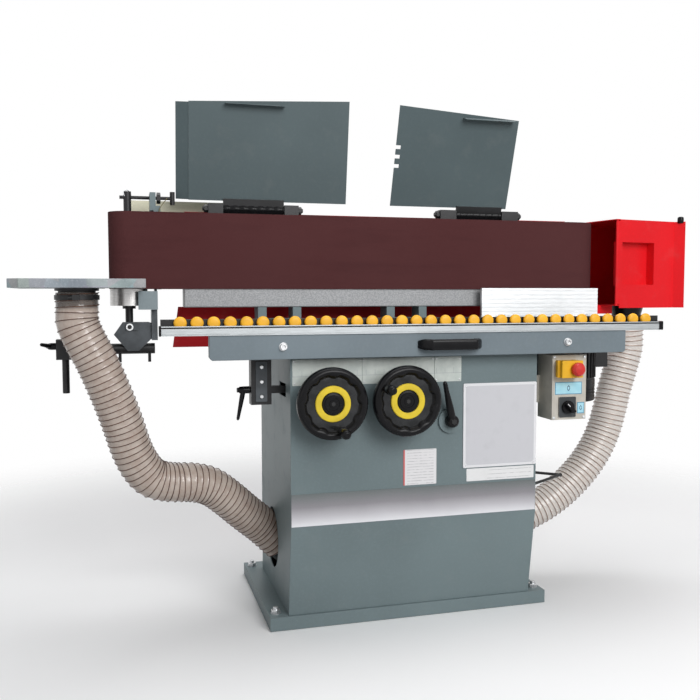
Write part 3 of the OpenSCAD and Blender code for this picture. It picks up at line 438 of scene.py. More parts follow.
def blank_face(name, base, rules=None, red_edge=None):
    """Face of a blank plate, a little soiled, with faint ruled lines where rules are given."""
    f = Finish(name)
    tone = base
    if rules:
        colour, pitch, start, low, high = rules
        x, z = f.along("X"), f.along("Z")
        on_line = (((z - start) % pitch) < 1.0) * (x > low) * (x < high)
        fade = f.noise(9, 3.0).step(0.25, 0.6)
        tone = f.mix(on_line * fade * 0.8, base, colour)
    soil = f.noise(28, 4.0).step(0.5, 0.8)
    tone = f.mix(soil * 0.18, tone, shade(base, 0.72))
    if red_edge:
        tone = f.mix((f.along("X") < red_edge) * 0.9, tone, (0.62, 0.06, 0.06))
    return f.surface(tone, 0.38 + 0.12 * soil, 0.0, f.bump(f.noise(1.6), 0.03, 0.4))


def scale_plate():
    """Pale scale plates with a plain graduated line."""
    f = Finish("scale_plate")
    x, z = f.along("X"), f.along("Z")
    on_plate = x % 196.0
    line = (abs(z - 659.0) < 0.7) * (on_plate > 20.0) * (on_plate < 120.0)
    tick = (abs(z - 666.0) < 7.0) * ((x % 24.0) < 1.2)
    soil = f.noise(30, 4.0, 0.6)
    pale = f.mix(soil.step(0.3, 0.75), (0.62, 0.66, 0.62), (0.50, 0.55, 0.52))
    tone = f.mix((line + tick).clamped() * 0.42, pale, (0.22, 0.24, 0.28))
    return f.surface(tone, 0.42 + 0.14 * soil, 0.0, f.bump(f.noise(2.0), 0.03, 0.4))


def switch_label():
    """Pale blue labels with a darker rim and a plain dark nought in the middle."""
    f = Finish("blue_label")
    x, z = f.along("X"), f.along("Z")
    nought, field, rim = 0.0, 0.0, 2.0
    for (x0, z0, x1, z1), size in ((SWITCH_LABEL, 1.0), (ROTARY_LABEL, 0.85)):
        from_mid_x, from_mid_z = x - (x0 + x1) / 2, z - (z0 + z1) / 2
        away = (from_mid_x / (4.2 * size)) ** 2.0 + (from_mid_z / (7.2 * size)) ** 2.0
        nought = (away < 1.0) * (away > 0.42) + nought
        inside_x = abs(from_mid_x) < (x1 - x0) / 2 - rim
        inside_z = abs(from_mid_z) < (z1 - z0) / 2 - rim
        field = inside_x * inside_z + field
    soil = f.noise(20, 3.0)
    tone = f.mix(soil.step(0.3, 0.7), (0.36, 0.68, 0.80), (0.44, 0.75, 0.86))
    tone = f.mix(1.0 - field, tone, (0.07, 0.26, 0.42))
    tone = f.mix(nought, tone, (0.02, 0.05, 0.14))
    return f.surface(tone, 0.34 + 0.1 * soil, 0.0, f.bump(f.noise(1.5), 0.02, 0.3))


PAINTS = {
    "grey_paint": dict(colour=(0.172, 0.220, 0.230)),
    "cover_paint": dict(colour=(0.090, 0.120, 0.127), gloss=0.42),
    "apron_paint": dict(colour=(0.185, 0.225, 0.250)),
    "pale_block_paint": dict(colour=(0.26, 0.31, 0.33)),
    "dark_paint": dict(colour=(0.060, 0.066, 0.070), worn=(0.2, 0.2, 0.2)),
    "red_paint": dict(colour=(0.74, 0.012, 0.018), worn=(0.45, 0.05, 0.05), gloss=0.34, scuff=0.2, shine=0.16),
    "guard_paint": dict(colour=(0.46, 0.008, 0.013), worn=(0.22, 0.06, 0.06), gloss=0.4, scuff=0.2, shine=0.16),
    "cream_paint": dict(colour=(0.80, 0.78, 0.60), worn=(0.5, 0.5, 0.42), gloss=0.4, scuff=0.2),
}
METALS = {
    "steel": dict(colour=(0.56, 0.56, 0.57), brushing=(1, 1, 0.15)),
    "drum_steel": dict(colour=(0.60, 0.59, 0.58), brushing=(0.1, 0.1, 1.0), grain=2.0, gloss=0.22),
    "long_alu": dict(colour=(0.39, 0.41, 0.42), brushing=(0.05, 1, 1), grain=2.5, gloss=0.34),
    "bright_alu": dict(
        colour=(0.71, 0.72, 0.73), brushing=(0.05, 1, 1), grain=2.5, gloss=0.36, scratch=0.3, streak=0.13),
    "zinc_steel": dict(colour=(0.62, 0.63, 0.64), grain=4.0, gloss=0.25),
    "bronze": dict(colour=(0.52, 0.34, 0.13), gloss=0.32),
}
IRONS = {
    "iron": dict(colour=(0.050, 0.052, 0.056)),
    "black_iron": dict(colour=(0.011, 0.011, 0.012), gloss=0.34, rubbed=0.25),
    "gusset_iron": dict(colour=(0.070, 0.078, 0.086), rubbed=0.3),
}
PLASTICS = {
    "black_plastic": dict(colour=(0.006, 0.006, 0.007), gloss=0.17, texture=1.4, edge=0.1, shine=0.15),
    "orange_plastic": dict(colour=(0.90, 0.46, 0.028)),
    "yellow_plastic": dict(colour=(0.74, 0.55, 0.030)),
    "switch_yellow": dict(colour=(0.80, 0.44, 0.02), gloss=0.32),
    "red_plastic": dict(colour=(0.58, 0.022, 0.016), gloss=0.30, coat=0.2),
    "green_plastic": dict(colour=(0.03, 0.30, 0.08)),
    "box_plastic": dict(colour=(0.56, 0.53, 0.47), gloss=0.42, texture=1.6),
    "graphite": dict(colour=(0.03, 0.03, 0.032), gloss=0.55, texture=1.2),
    "olive_web": dict(colour=(0.20, 0.17, 0.07), gloss=0.62, texture=2.2),
}
BLANK_FACES = {
    "plate_field": dict(base=(0.60, 0.60, 0.63)),
    "blank_plate": dict(base=(0.78, 0.78, 0.80)),
    "data_plate": dict(
        base=(0.78, 0.77, 0.78), rules=((0.25, 0.25, 0.27), 7.4, 369.0, -32.0, 42.0), red_edge=-38.0),
    "label_plate": dict(base=(0.80, 0.80, 0.80), rules=((0.3, 0.3, 0.32), 11.0, 371.0, 196.0, 326.0)),
}
FINISHES = {
    "belt_cloth": belt_cloth(),
    "belt_backing": belt_backing(),
    "beam_hammer": beam_casting(),
    "zinc_plate": galvanised_plate(),
    "turned_black": turned_black(),
    "hose_film": hose_film(),
    "spiral_wire": spiral_wire(),
    "silver_band": silver_band(),
    "scale_plate": scale_plate(),
    "blue_label": switch_label(),
}
for make, looks in (
    (machine_paint, PAINTS), (bare_metal, METALS), (cast_iron, IRONS), (moulded, PLASTICS),
    (blank_face, BLANK_FACES),
):
    FINISHES.update({name: make(name, **look) for name, look in looks.items()})


# Mesh building, in millimetres of the machine's frame

def facing(centre, way):
    """Places local +Z along a direction, from a centre."""
    turn = Vector(way).to_track_quat("Z", "Y").to_matrix().to_4x4()
    return Matrix.Translation(Vector(centre)) @ turn


def front(x, y, z):
    """Local +Z towards the operator, local X along the machine, local Y up."""
    return Matrix.Translation((x, y, z)) @ Matrix.Rotation(math.pi / 2, 4, "X")


def behind(x, y, z):
    """Local +Z away from the operator, local Y up."""
    turn = Matrix(((-1, 0, 0, 0), (0, 0, 1, 0), (0, 1, 0, 0), (0, 0, 0, 1)))
    return Matrix.Translation((x, y, z)) @ turn


# local +Z along the machine, local X to the back and local Y up
ALONG = Matrix(((0, 0, 1, 0), (1, 0, 0, 0), (0, 1, 0, 0), (0, 0, 0, 1)))


class Shape:
    """The faces of one piece."""

    def __init__(self):
        self.bm = bmesh.new()

    def vert(self, point):
        return self.bm.verts.new(point)

    def skin(self, first, second):
        if len(first) == 1 and len(second) == 1:
            return
        count = max(len(first), len(second))
        for i in range(count):
            j = (i + 1) % count
            order = ((first, i), (first, j), (second, j), (second, i))
            unique = list(dict.fromkeys(ring[k % len(ring)] for ring, k in order))
            if len(unique) > 2:
                self.bm.faces.new(unique)

    def loft(self, rings, caps=True, closed=False):
        made = [[self.vert(p) for p in ring] for ring in rings]
        for first, second in zip(made, made[1:]):
            self.skin(first, second)
        if closed:
            self.skin(made[-1], made[0])
        elif caps:
            for ring in (made[0], made[-1]):
                if len(ring) > 2:
                    self.bm.faces.new(ring)
        return self

    def turned(self, profile, place, steps=64, closed=False, wave=None):
        """Profile points (radius, height) turned about local Z. wave(angle, index) adds to a radius."""
        rings = []
        for index, (radius, height) in enumerate(profile):
            ring = []
            for i in range(steps if radius > 1e-6 else 1):
                angle = 2 * math.pi * i / steps
                r = radius + (wave(angle, index) if wave else 0.0)
                ring.append(place @ Vector((r * math.cos(angle), r * math.sin(angle), height)))
            rings.append(ring)
        return self.loft(rings, True, closed)

    def rod(self, a, b, d, bevel=0.8):
        a, b, r = Vector(a), Vector(b), d / 2
        length = (b - a).length
        profile = [(r - bevel, 0), (r, bevel), (r, length - bevel), (r - bevel, length)]
        return self.turned(profile, facing(a, b - a), 24)

    def block(self, low, high, place=Matrix()):
        (x0, y0, z0), (x1, y1, z1) = low, high
        return self.plate([(x0, y0), (x1, y0), (x1, y1), (x0, y1)], z0, z1, place)

    def plate(self, outline, low, high, place):
        """A flat outline (x, y) drawn from height low to high along local Z."""
        return self.loft([[place @ Vector((x, y, h)) for x, y in outline] for h in (low, high)])

    def sweep(self, points, radii, sides=20):
        """A round bar through points, with a radius at each."""
        points = [Vector(p) for p in points]
        rings, side = [], None
        for i, point in enumerate(points):
            way = (points[min(i + 1, len(points) - 1)] - points[max(i - 1, 0)]).normalized()
            side = way.orthogonal() if side is None else side - way * side.dot(way)
            side.normalize()
            up = way.cross(side)
            turns = [2 * math.pi * k / sides for k in range(sides)]
            rings.append([point + radii[i] * (math.cos(a) * side + math.sin(a) * up) for a in turns])
        return self.loft(rings)

    def hexagon(self, across, low, high, place, chamfer=1.2):
        r = across / math.sqrt(3)
        turns = [math.radians(60 * k + 30) for k in range(6)]
        ring = [(r * math.cos(a), r * math.sin(a)) for a in turns]
        heights = [(1 - chamfer / r, low), (1, low + chamfer), (1, high - chamfer), (1 - chamfer / r, high)]
        return self.loft([[place @ Vector((x * s, y * s, h)) for x, y in ring] for s, h in heights])

    def object(self, name, finish, smooth=35.0):
        bmesh.ops.recalc_face_normals(self.bm, faces=self.bm.faces)
        bmesh.ops.scale(self.bm, vec=(MM, MM, MM), verts=self.bm.verts)
        mesh = bpy.data.meshes.new(name)
        self.bm.to_mesh(mesh)
        self.bm.free()
        for layer in [a for a in mesh.attributes if a.name == "custom_normal"]:
            mesh.attributes.remove(layer)
        mesh.materials.append(FINISHES[finish])
        mesh.shade_smooth()
        mesh.set_sharp_from_angle(angle=math.radians(smooth))
        made = bpy.data.objects.new(name, mesh)
        bpy.context.scene.collection.objects.link(made)
        return made


def ease_edges(made, radius, steps):
    rounding = made.modifiers.new("eased_edges", "BEVEL")
    rounding.width = radius * MM
    rounding.segments = steps
    rounding.limit_method = "ANGLE"
    rounding.angle_limit = math.radians(32.0)
    rounding.harden_normals = True


def fit(shape, name, finish, body, replaces=(), ease=0.0, steps=2, smooth=35.0):
    """Finishes a piece, rides it on its body and hides the solids that it stands for."""
    made = shape.object(name, finish, smooth)
    if ease:
        ease_edges(made, ease, steps)
    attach(made, body)
    if replaces:
        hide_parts(*replaces)
    return made


def eased(node, finish, radius, steps=2, merge=True, smooth=35.0):
    """The node's own solid with its edges rounded off."""
    shape = Shape()
    shape.bm.from_mesh(NODES[node].data)
    bmesh.ops.remove_doubles(shape.bm, verts=shape.bm.verts, dist=2e-6)
    if merge:
        bmesh.ops.dissolve_limit(
            shape.bm, angle_limit=math.radians(0.6), verts=shape.bm.verts, edges=shape.bm.edges,
            delimit=set(),
        )
    bmesh.ops.scale(shape.bm, vec=(1 / MM, 1 / MM, 1 / MM), verts=shape.bm.verts)
    return fit(shape, node + "_eased", finish, NODES[node]["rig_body"], (node,), radius, steps, smooth)


def second_finish(made, finish, chosen):
    """Another finish on the faces whose middle, in millimetres, is chosen."""
    made.data.materials.append(FINISHES[finish])
    for face in made.data.polygons:
        if chosen(face.center / MM):
            face.material_index = len(made.data.materials) - 1


def rounded(x0, z0, x1, z1, radius, steps=6):
    """Outline of a rectangle with round corners."""
    points = []
    for cx, cz, start in ((x1 - radius, z1 - radius, 0), (x0 + radius, z1 - radius, 90),
                          (x0 + radius, z0 + radius, 180), (x1 - radius, z0 + radius, 270)):
        for i in range(steps + 1):
            angle = math.radians(start + 90 * i / steps)
            points.append((cx + radius * math.cos(angle), cz + radius * math.sin(angle)))
    return points


# Dust hoses, from the port above to the column

LEFT_ROUTE = [
    (-849, -138, 870), (-849, -138, 833), (-849, -138, 796), (-832, -138, 752), (-806, -137, 699),
    (-785, -134, 648), (-764, -128, 592), (-744, -119, 532), (-726, -109, 472), (-704, -99, 424),
    (-672, -88, 386), (-624, -76, 370), (-572, -65, 364), (-522, -52, 348), (-474, -38, 310),
    (-424, -20, 262), (-375, -5, 218), (-347.5, -1.6, 190.5), (-320, 1.9, 163),
]
RIGHT_ROUTE = [
    (797, 8, 799), (797, 8, 746), (796, 8, 693), (778, 8, 630), (758, 8, 565), (741, 7, 500),
    (721, 6, 437), (687, 3, 374), (637, -1, 314), (573, -5, 260), (505, -8, 218), (440, -8, 190),
    (392, -8, 168), (348, -8, 145), (310.4, -8, 123),
]
HOSE_R, HOSE_BORE, HOSE_SIDES, RIB = 52.0, 48.4, 44, 1.5
WIRE_R, WIRE_PITCH = 1.15, 15.0


def smooth_route(route, each=24):
    """Points close together on the smooth curve through a route."""
    p = [Vector(q) for q in route]
    p = [2 * p[0] - p[1], *p, 2 * p[-1] - p[-2]]
    found = []
    for i in range(1, len(p) - 2):
        a, b, c, d = p[i - 1:i + 3]
        for k in range(each):
            t = k / each
            found.append(0.5 * (2 * b + (c - a) * t + (2 * a - 5 * b + 4 * c - d) * t * t
                                + (3 * b - a - 3 * c + d) * t ** 3))
    return [*found, p[-2]]


def even_stations(points, spacing):
    """(arc length, point, two directions across) at an even spacing along a line of points."""
    lengths = [0.0]
    for a, b in zip(points, points[1:]):
        lengths.append(lengths[-1] + (b - a).length)
    count = max(2, round(lengths[-1] / spacing))
    arcs, places, i = [], [], 0
    for n in range(count + 1):
        s = lengths[-1] * n / count
        while i < len(points) - 2 and lengths[i + 1] < s:
            i += 1
        share = (s - lengths[i]) / (lengths[i + 1] - lengths[i])
        arcs.append(s)
        places.append(points[i].lerp(points[i + 1], share))
    stations = []
    for n, (s, place) in enumerate(zip(arcs, places)):
        way = (places[min(n + 1, count)] - places[max(n - 1, 0)]).normalized()
        u = way.cross(Vector((0, 1, 0))).normalized()
        stations.append((s, place, u, way.cross(u)))
    return stations


def dust_hose(name, route, low_body, high_body):
    """Film with hollows between the turns of its wire, and the wire."""
    line = smooth_route(route)
    outer, inner = [], []
    for s, point, u, v in even_stations(line, WIRE_PITCH / 8):
        ring, bore = [], []
        for k in range(HOSE_SIDES):
            angle = 2 * math.pi * k / HOSE_SIDES
            phase = (s / WIRE_PITCH - k / HOSE_SIDES) % 1.0
            hollow = 1.0 - abs(2.0 * phase - 1.0) ** 5
            out = math.cos(angle) * u + math.sin(angle) * v
            ring.append(point + (HOSE_R - RIB * hollow) * out)
            bore.append(point + HOSE_BORE * out)
        outer.append(ring)
        inner.append(bore)
    film = Shape().loft([*outer, *reversed(inner[::4])], False, True)
    hose = film.object(name + "_film", "hose_film", 60.0)
    turns = []
    for s, point, u, v in even_stations(line, WIRE_PITCH / 22):
        angle = 2 * math.pi * s / WIRE_PITCH
        turns.append(point + HOSE_R * (math.cos(angle) * u + math.sin(angle) * v))
    wire = Shape().sweep(turns, [WIRE_R] * len(turns), 6)
    spiral = wire.object(name + "_wire", "spiral_wire", 60.0)
    for piece in (hose, spiral):
        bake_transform(piece, low_body, high_body, start=Vector(route[-2]) * MM, end=Vector(route[2]) * MM)
    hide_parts(name)
    path = [tuple(p * MM) for p in line]
    length = sum((b - a).length for a, b in zip(line, line[1:])) * MM
    beside_axis = tuple((line[0] + Vector((15, 0, 0))) * MM)


dust_hose("left_hose", LEFT_ROUTE, "head", "aux_table")
dust_hose("right_hose", RIGHT_ROUTE, "frame", "head")


def hose_clip(name, centre, body):
    """Worm-drive clip round the upright end of a hose."""
    place = facing(centre, (0, 0, 1))
    clip = Shape()
    clip.turned([(52.4, -6), (53.6, -6), (53.6, 6), (52.4, 6)], place, 64, True)
    clip.block((-9, 53.2, -7), (9, 61, 7), place)
    clip.turned([(0, 0), (4.5, 0), (4.5, 10), (0, 10)], place @ facing((9, 57, 0), (1, 0, 0)), 20)
    fit(clip, name, "black_iron", body, ease=0.5)


hose_clip("left_hose_clip", (-849, -138, 858), "aux_table")
hose_clip("right_hose_clip", (797, 8, 784), "head")


# Sanding belt

IDLER = (-723.5, -15.0)
DRIVE = (579.671, 10.0)
IDLER_R, DRIVE_R = 50.0, 75.0
BELT_T, BELT_LOW, BELT_HIGH = 1.5, 880.0, 1080.0


def belt_points(inset, steps=64):
    """Outline of the belt round both drums, seen from above."""
    turn = 2 * math.atan2(DRIVE_R - IDLER_R, DRIVE[0] - IDLER[0])
    found = []
    for (x, y), r, start, sweep in ((IDLER, IDLER_R, math.pi / 2 + turn, math.pi - turn),
                                    (DRIVE, DRIVE_R, -math.pi / 2, math.pi + turn)):
        for i in range(steps + 1):
            a = start + sweep * i / steps
            found.append((x + (r - inset) * math.cos(a), y + (r - inset) * math.sin(a)))
    return found


def sanding_belt():
    outside, inside = belt_points(0.0), belt_points(BELT_T)
    rings = [
        [(x, y, z) for x, y in line]
        for line, z in ((outside, BELT_LOW), (outside, BELT_HIGH), (inside, BELT_HIGH), (inside, BELT_LOW))
    ]
    loop = Shape().loft(rings, False, True)
    belt = fit(loop, "belt_loop", "belt_cloth", "head", ("sanding_belt",))
    belt.data.materials.append(FINISHES["belt_backing"])
    for face in belt.data.polygons:
        near = Vector((min(max(face.center.x, IDLER[0] * MM), DRIVE[0] * MM), -0.005, face.center.z))
        if abs(face.normal.z) < 0.5 and face.normal.dot(face.center - near) < 0:
            face.material_index = 1


sanding_belt()


# Handwheels, grips and levers

LOBES = 9
WHEEL_Z, WHEEL_BACK = 597.0, -317.0
GRIP_ORBIT, GRIP_OUT = 70.0, 24.3
RIM_PROFILE = [
    (66, 9.5), (70, 6), (75, 2.4), (80, 0.6), (85, 1.2), (88.6, 4.5), (90, 10), (90, 18), (88.4, 24),
    (85, 28), (80, 30), (75, 29.2), (71.5, 26), (69.5, 21.5), (66, 19),
]
# depth of the finger hollows at each point of the rim's profile
HOLLOWS = {10: 0.6, 11: 2.4, 12: 4.4, 13: 5.0, 14: 4.2}
WEB_PROFILE = [
    (24, 0), (26, 6), (66, 10), (66.5, 18.5), (60, 19.2), (50, 18.4), (46, 18.0), (28.4, 18.0),
    (28.4, 14), (10, 14), (10, 0),
]
RING_PROFILE = [
    (29.2, 18.1), (29.2, 22.0), (30.4, 23.0), (36, 23.4), (43.4, 23.0), (44.8, 21.6), (45, 18.1),
]
HUB_PROFILE = [
    (0, 22), (3.5, 22), (4.5, 23.2), (9.5, 23.2), (10.2, 21.8), (15.5, 21.8), (16.2, 23.6), (21.0, 23.6),
    (21.8, 21.4), (26.8, 20.6), (28.2, 18.6), (28.2, 14.2), (9.8, 14.2), (9.8, 17), (0, 17),
]
STUD_PROFILE = [(4.9, -9.7), (4.9, 4.2), (7.8, 4.4), (8.4, 5.2), (8.4, 6.8), (7.6, 7.4), (0, 7.4)]
HANDLE_PROFILE = [
    (6.5, 7.0), (8.4, 7.2), (9.6, 9.4), (9.2, 12.6), (10.4, 17), (12.2, 28), (13.0, 40), (12.6, 50),
    (10.8, 57.6), (7.4, 61.8), (4.6, 62.6), (4.2, 61.4), (0, 61.2),
]


def handwheel(prefix, x, grip_angle):
    """Rim with finger hollows, web, yellow ring, hub, nut and a free grip on its stud."""
    wheel, grip, black = prefix + "_wheel", prefix + "_grip", "black_plastic"
    place = front(x, WHEEL_BACK, WHEEL_Z)
    angle = math.radians(grip_angle)

    def finger_hollow(turn, index):
        return -HOLLOWS.get(index, 0.0) * max(0.0, math.cos(LOBES * turn + angle)) ** 0.8

    rim = Shape().turned(RIM_PROFILE, place, 216, True, finger_hollow)
    fit(rim, wheel + "_rim", black, wheel, (wheel,), smooth=50)
    web = Shape().turned(WEB_PROFILE, place, 144, True)
    fit(web, wheel + "_web", "turned_black", wheel, smooth=28)
    ring = Shape().turned(RING_PROFILE, place, 96, True)
    fit(ring, wheel + "_ring", "yellow_plastic", wheel, (prefix + "_ring",))
    hub = Shape().turned(HUB_PROFILE, place, 72)
    fit(hub, wheel + "_hub", black, wheel, smooth=24)
    nut = Shape().hexagon(10, 22.1, 25.4, place, 0.6)
    fit(nut, wheel + "_nut", "black_iron", wheel)
    grip_x, grip_z = x + GRIP_ORBIT * math.cos(angle), WHEEL_Z + GRIP_ORBIT * math.sin(angle)
    grip_place = front(grip_x, WHEEL_BACK - GRIP_OUT, grip_z)
    stud = Shape().turned(STUD_PROFILE, grip_place, 32)
    fit(stud, grip + "_stud", "bronze", grip, smooth=25)
    handle = Shape().turned(HANDLE_PROFILE, grip_place, 40)
    fit(handle, grip + "_handle", black, grip, (grip,), smooth=40)


handwheel("height", -249.0, -75)
handwheel("infeed", -55.0, 150)


def clamp_lever(name, node, hub, axis, hub_d, hub_l, tip, root_r, tip_r, stud_end, stud_d):
    """Moulded clamp lever: rounded hub, tapered arm and a dark steel stud."""
    place = facing(hub, axis)
    r = hub_d / 2
    lever = Shape()
    lever.turned([
        (r * 0.72, 0), (r, 1.5), (r, hub_l * 0.55), (r * 0.9, hub_l * 0.85), (r * 0.55, hub_l), (0, hub_l),
    ], place, 40)
    start = Vector(hub) + Vector(axis) * hub_l * 0.55
    end = Vector(tip)
    points = [start.lerp(end, t) for t in (0.0, 0.12, 0.3, 0.55, 0.8, 0.93, 0.98, 1.0)]
    radii = [root_r * 0.9, root_r, root_r * 0.9 + tip_r * 0.1, (root_r + tip_r) / 2, tip_r * 1.06, tip_r,
             tip_r * 0.72, tip_r * 0.2]
    lever.sweep(points, radii, 20)
    body = NODES[node]["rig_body"]
    fit(lever, name, "black_plastic", body, (node,), smooth=50)
    stud = Shape().rod(Vector(hub) + Vector(axis) * 2, stud_end, stud_d)
    stud.hexagon(stud_d * 1.1, hub_l, hub_l + 2.4, place, 0.5)
    fit(stud, name + "_stud", "black_iron", body)


clamp_lever("front_clamp", "front_lever", (87, -272.3, 533), (0, -1, 0), 34, 24,
            (57, -302.3, 641), 10.5, 6.0, (87, -262, 533), 12)
clamp_lever("guide_clamp", "side_lever", (-425.3, -155, 618), (-1, 0, 0), 19, 32,
            (-459, -161, 540), 6.5, 4.2, (-414, -155, 618), 10)
clamp_lever("side_table_clamp", "aux_lever", (-908.3, -15, 731), (-1, 0, 0), 18, 22,
            (-944, -46, 738), 6.2, 4.4, (-898, -15, 731), 8)


# Rollers, rail, stop bar and handle of the table

APRON_FRONT, APRON_MID_Z = -311.0, 738.0
ROLLER_N, ROLLER_PITCH, ROLLER_MID = 33, 39.4, 18.5
RAIL_LEFT, RAIL_RIGHT = -657.0, 694.0


def table_rollers():
    """Domed rollers, each on an axle across the rail."""
    profile = [
        (0, 0), (9, 0), (12.6, 0.9), (14.8, 3.2), (15.5, 6.2), (15.5, 8.0), (15.0, 10.2), (13.6, 12.0),
        (11.2, 13.2), (7.5, 13.8), (3.5, 14), (0, 14),
    ]
    first = ROLLER_MID - ROLLER_PITCH * (ROLLER_N - 1) / 2
    row = Shape()
    for i in range(ROLLER_N):
        row.turned(profile, front(first + i * ROLLER_PITCH, -296.0, 797.0), 40)
    fit(row, "roller_row", "orange_plastic", "table", ("rollers",), smooth=50)


def roller_rail():
    """Drawn aluminium rail: grooved front, channel for the rollers and a back lip."""
    outline = [
        (-315, 767), (-315, 769), (-314.2, 769.4), (-314.2, 770.6), (-315, 771), (-315, 784), (-313.6, 784.6),
        (-313.6, 787), (-315, 787.6), (-315, 789.4), (-314.4, 790), (-312.6, 790), (-312, 789.4), (-312, 779),
        (-295, 779), (-295, 805.2), (-294.2, 806), (-291.8, 806), (-291, 805.2), (-291, 767),
    ]
    rail = Shape().plate(outline, RAIL_LEFT, RAIL_RIGHT, ALONG)
    profile = fit(rail, "roller_rail", "long_alu", "table", ("table_rail",), smooth=20)
    # painted shade: the back lip's faces take the black finish, standing for shade behind and between the
    # rollers
    second_finish(profile, "black_iron", lambda p: p.y > -296.0 and p.z > 779.5)
    caps = Shape()
    for low, high in ((RAIL_LEFT - 4, RAIL_LEFT + 1), (RAIL_RIGHT - 9, RAIL_RIGHT + 4)):
        caps.plate(rounded(-315.8, 766.4, -290.4, 791, 3.5), low, high, ALONG)
    caps.block((RAIL_LEFT, -314.8, 784.7), (RAIL_RIGHT, -313.4, 786.9))
    fit(caps, "rail_caps", "black_plastic", "table", ease=0.8)


def stop_bar():
    """Bright fence with fine grooves along it, on two screwed feet."""
    x0, x1, y0, foot_z, top = 254.0, 629.0, -95.0, 790, 883
    groove = ((0.0, 0.0), (0.7, 0.5), (1.7, 0.5), (2.4, 0.0))
    outline = [(y0 + 12, foot_z), (y0 + 12, top), (y0, top)]
    for drop in range(7, 80, 12):
        outline += [(y0 + inset, top - drop - step) for step, inset in groove]
    outline.append((y0, foot_z))
    bar, screws = Shape().plate(outline, x0, x1, ALONG), Shape()
    for x in (x0 + 30, x1 - 80):
        bar.block((x, y0 - 40, foot_z), (x + 50, y0 + 1, 800))
        screws.hexagon(13, 800, 808, Matrix.Translation((x + 25, y0 - 22, 0)))
    fit(bar, "stop_bar_profile", "bright_alu", "table", ("stop_bar",), smooth=20)
    fit(screws, "stop_bar_screws", "zinc_steel", "table")


def pull_handle():
    """Bow handle: squarish bar between two feet, open behind for the fingers."""
    left, right = -20.0, 154.0
    sides, count, power = 24, 72, 0.55
    rings = []
    for i in range(count + 1):
        x = left + (right - left) * (0.5 - 0.5 * math.cos(math.pi * i / count))
        near = max(min(x - left, right - x), 0.0)
        out = 40.0 * min(1.0, near / 26.0) ** 0.55
        inner = min(26.0 if near > 24.0 else 0.0, max(out - 12.0, 0.0))
        mid, half = APRON_FRONT - (out + inner) / 2, max((out - inner) / 2, 0.6)
        tall = 14.0 * (0.55 + 0.45 * min(1.0, max(0.05, near) / 14.0) ** 0.5)
        ring = []
        for k in range(sides):
            a = 2 * math.pi * k / sides
            c, s = math.cos(a), math.sin(a)
            y = mid + half * math.copysign(abs(c) ** power, c)
            ring.append((x, y, APRON_MID_Z + tall * math.copysign(abs(s) ** power, s)))
        rings.append(ring)
    handle = Shape().loft(rings)
    fit(handle, "bow_handle", "black_plastic", "table", ("pull_handle",), smooth=50)


def apron_bolts():
    """Washer and socket-head screw at each end of the apron."""
    washer = [(0, 0), (10, 0), (10.5, 0.4), (10.5, 1.6), (10, 2), (0, 2)]
    head = [(0, 2), (8.6, 2), (9, 2.4), (9, 8.4), (7.8, 10), (4.7, 10), (4.3, 9.6), (4.3, 5), (0, 5)]
    bolts = Shape()
    for x in (-367, 405):
        for profile in (washer, head):
            bolts.turned(profile, front(x, APRON_FRONT, APRON_MID_Z), 40)
    fit(bolts, "apron_screws", "zinc_steel", "table", ("apron_bolts",), smooth=25)


table_rollers()
roller_rail()
stop_bar()
pull_handle()
apron_bolts()


# Plates on the column front

COLUMN_FRONT = -265.0


def front_plate(name, edges, finish, thick=1.0, radius=2.0, replaces=()):
    plate = Shape().plate(rounded(*edges, radius, 4), 0.0, thick, front(0, COLUMN_FRONT, 0))
    fit(plate, name, finish, "frame", replaces, 0.3, 1)


front_plate("silver_band_plate", SILVER_BAND, "silver_band", 1.0, 0.6, ("front_plates",))
front_plate("scale_plate_left", (-336, 636, -154.4, 702), "scale_plate")
front_plate("scale_plate_mid", (-153.6, 636, 42.6, 702), "scale_plate")
front_plate("scale_plate_right", (43.4, 636, 119, 702), "scale_plate")
front_plate("large_blank_plate", (125, 403, 339, 629), "blank_plate", 3.0, 4.0)
front_plate("large_plate_field", (132, 410, 332, 622), "plate_field", 3.3, 2.0)
front_plate("label_blank_plate", LABEL_PLATE, "label_plate")
front_plate("data_blank_plate", DATA_PLATE, "data_plate")


def plate_rivets():
    rivets = Shape()
    spots = [(x, z, 3.0) for x in (133, 331) for z in (411, 621)]
    spots += [(x, z, 1.0) for x in (-331, -159, -149, 38, 48, 114) for z in (641, 697)]
    for x, z, lift in spots:
        place = front(x, COLUMN_FRONT - lift, z)
        rivets.turned([(0, 0), (2.6, 0), (2.4, 0.9), (1.4, 1.5), (0, 1.7)], place, 16)
    fit(rivets, "plate_rivets", "zinc_steel", "frame", smooth=60)


plate_rivets()


# Control box, its screws, and the floor bolts, which share a node with them

LID_Y = -280.0


def control_details():
    place = front(0, LID_Y, 0)
    for name, edges in (("switch_label", SWITCH_LABEL), ("rotary_label", ROTARY_LABEL)):
        label = Shape().plate(rounded(*edges, 2), 0, 1.4, place)
        fit(label, name, "blue_label", "frame", ease=0.3, steps=1)
    dial = Shape().plate(rounded(398, 530, 450, 586, 3), 0, 4.2, place)
    fit(dial, "rotary_plate", "dark_paint", "frame", ease=0.8)
    lid_screw = [(0, 0), (4.4, 0), (4.2, 1.6), (3.0, 2.7), (1.0, 3.0), (0.9, 1.9), (0, 1.9)]
    screws = Shape()
    for x in (385, 476):
        for z in (529, 694):
            screws.turned(lid_screw, front(x, LID_Y, z), 24)
    for x in (-370, 370):
        for y in (-200, 200):
            spot = Matrix.Translation((x, y, 35))
            screws.turned([(7.0, 0), (13, 0), (13, 2.4), (7.0, 2.4)], spot, 32, True)
            screws.hexagon(22, 2.4, 10, spot)
            screws.turned([(6.9, -33), (6.9, 16), (5.9, 17), (0, 17)], spot, 24)
    fit(screws, "lid_and_floor_screws", "zinc_steel", "frame", ("frame_fasteners",), smooth=25)


control_details()


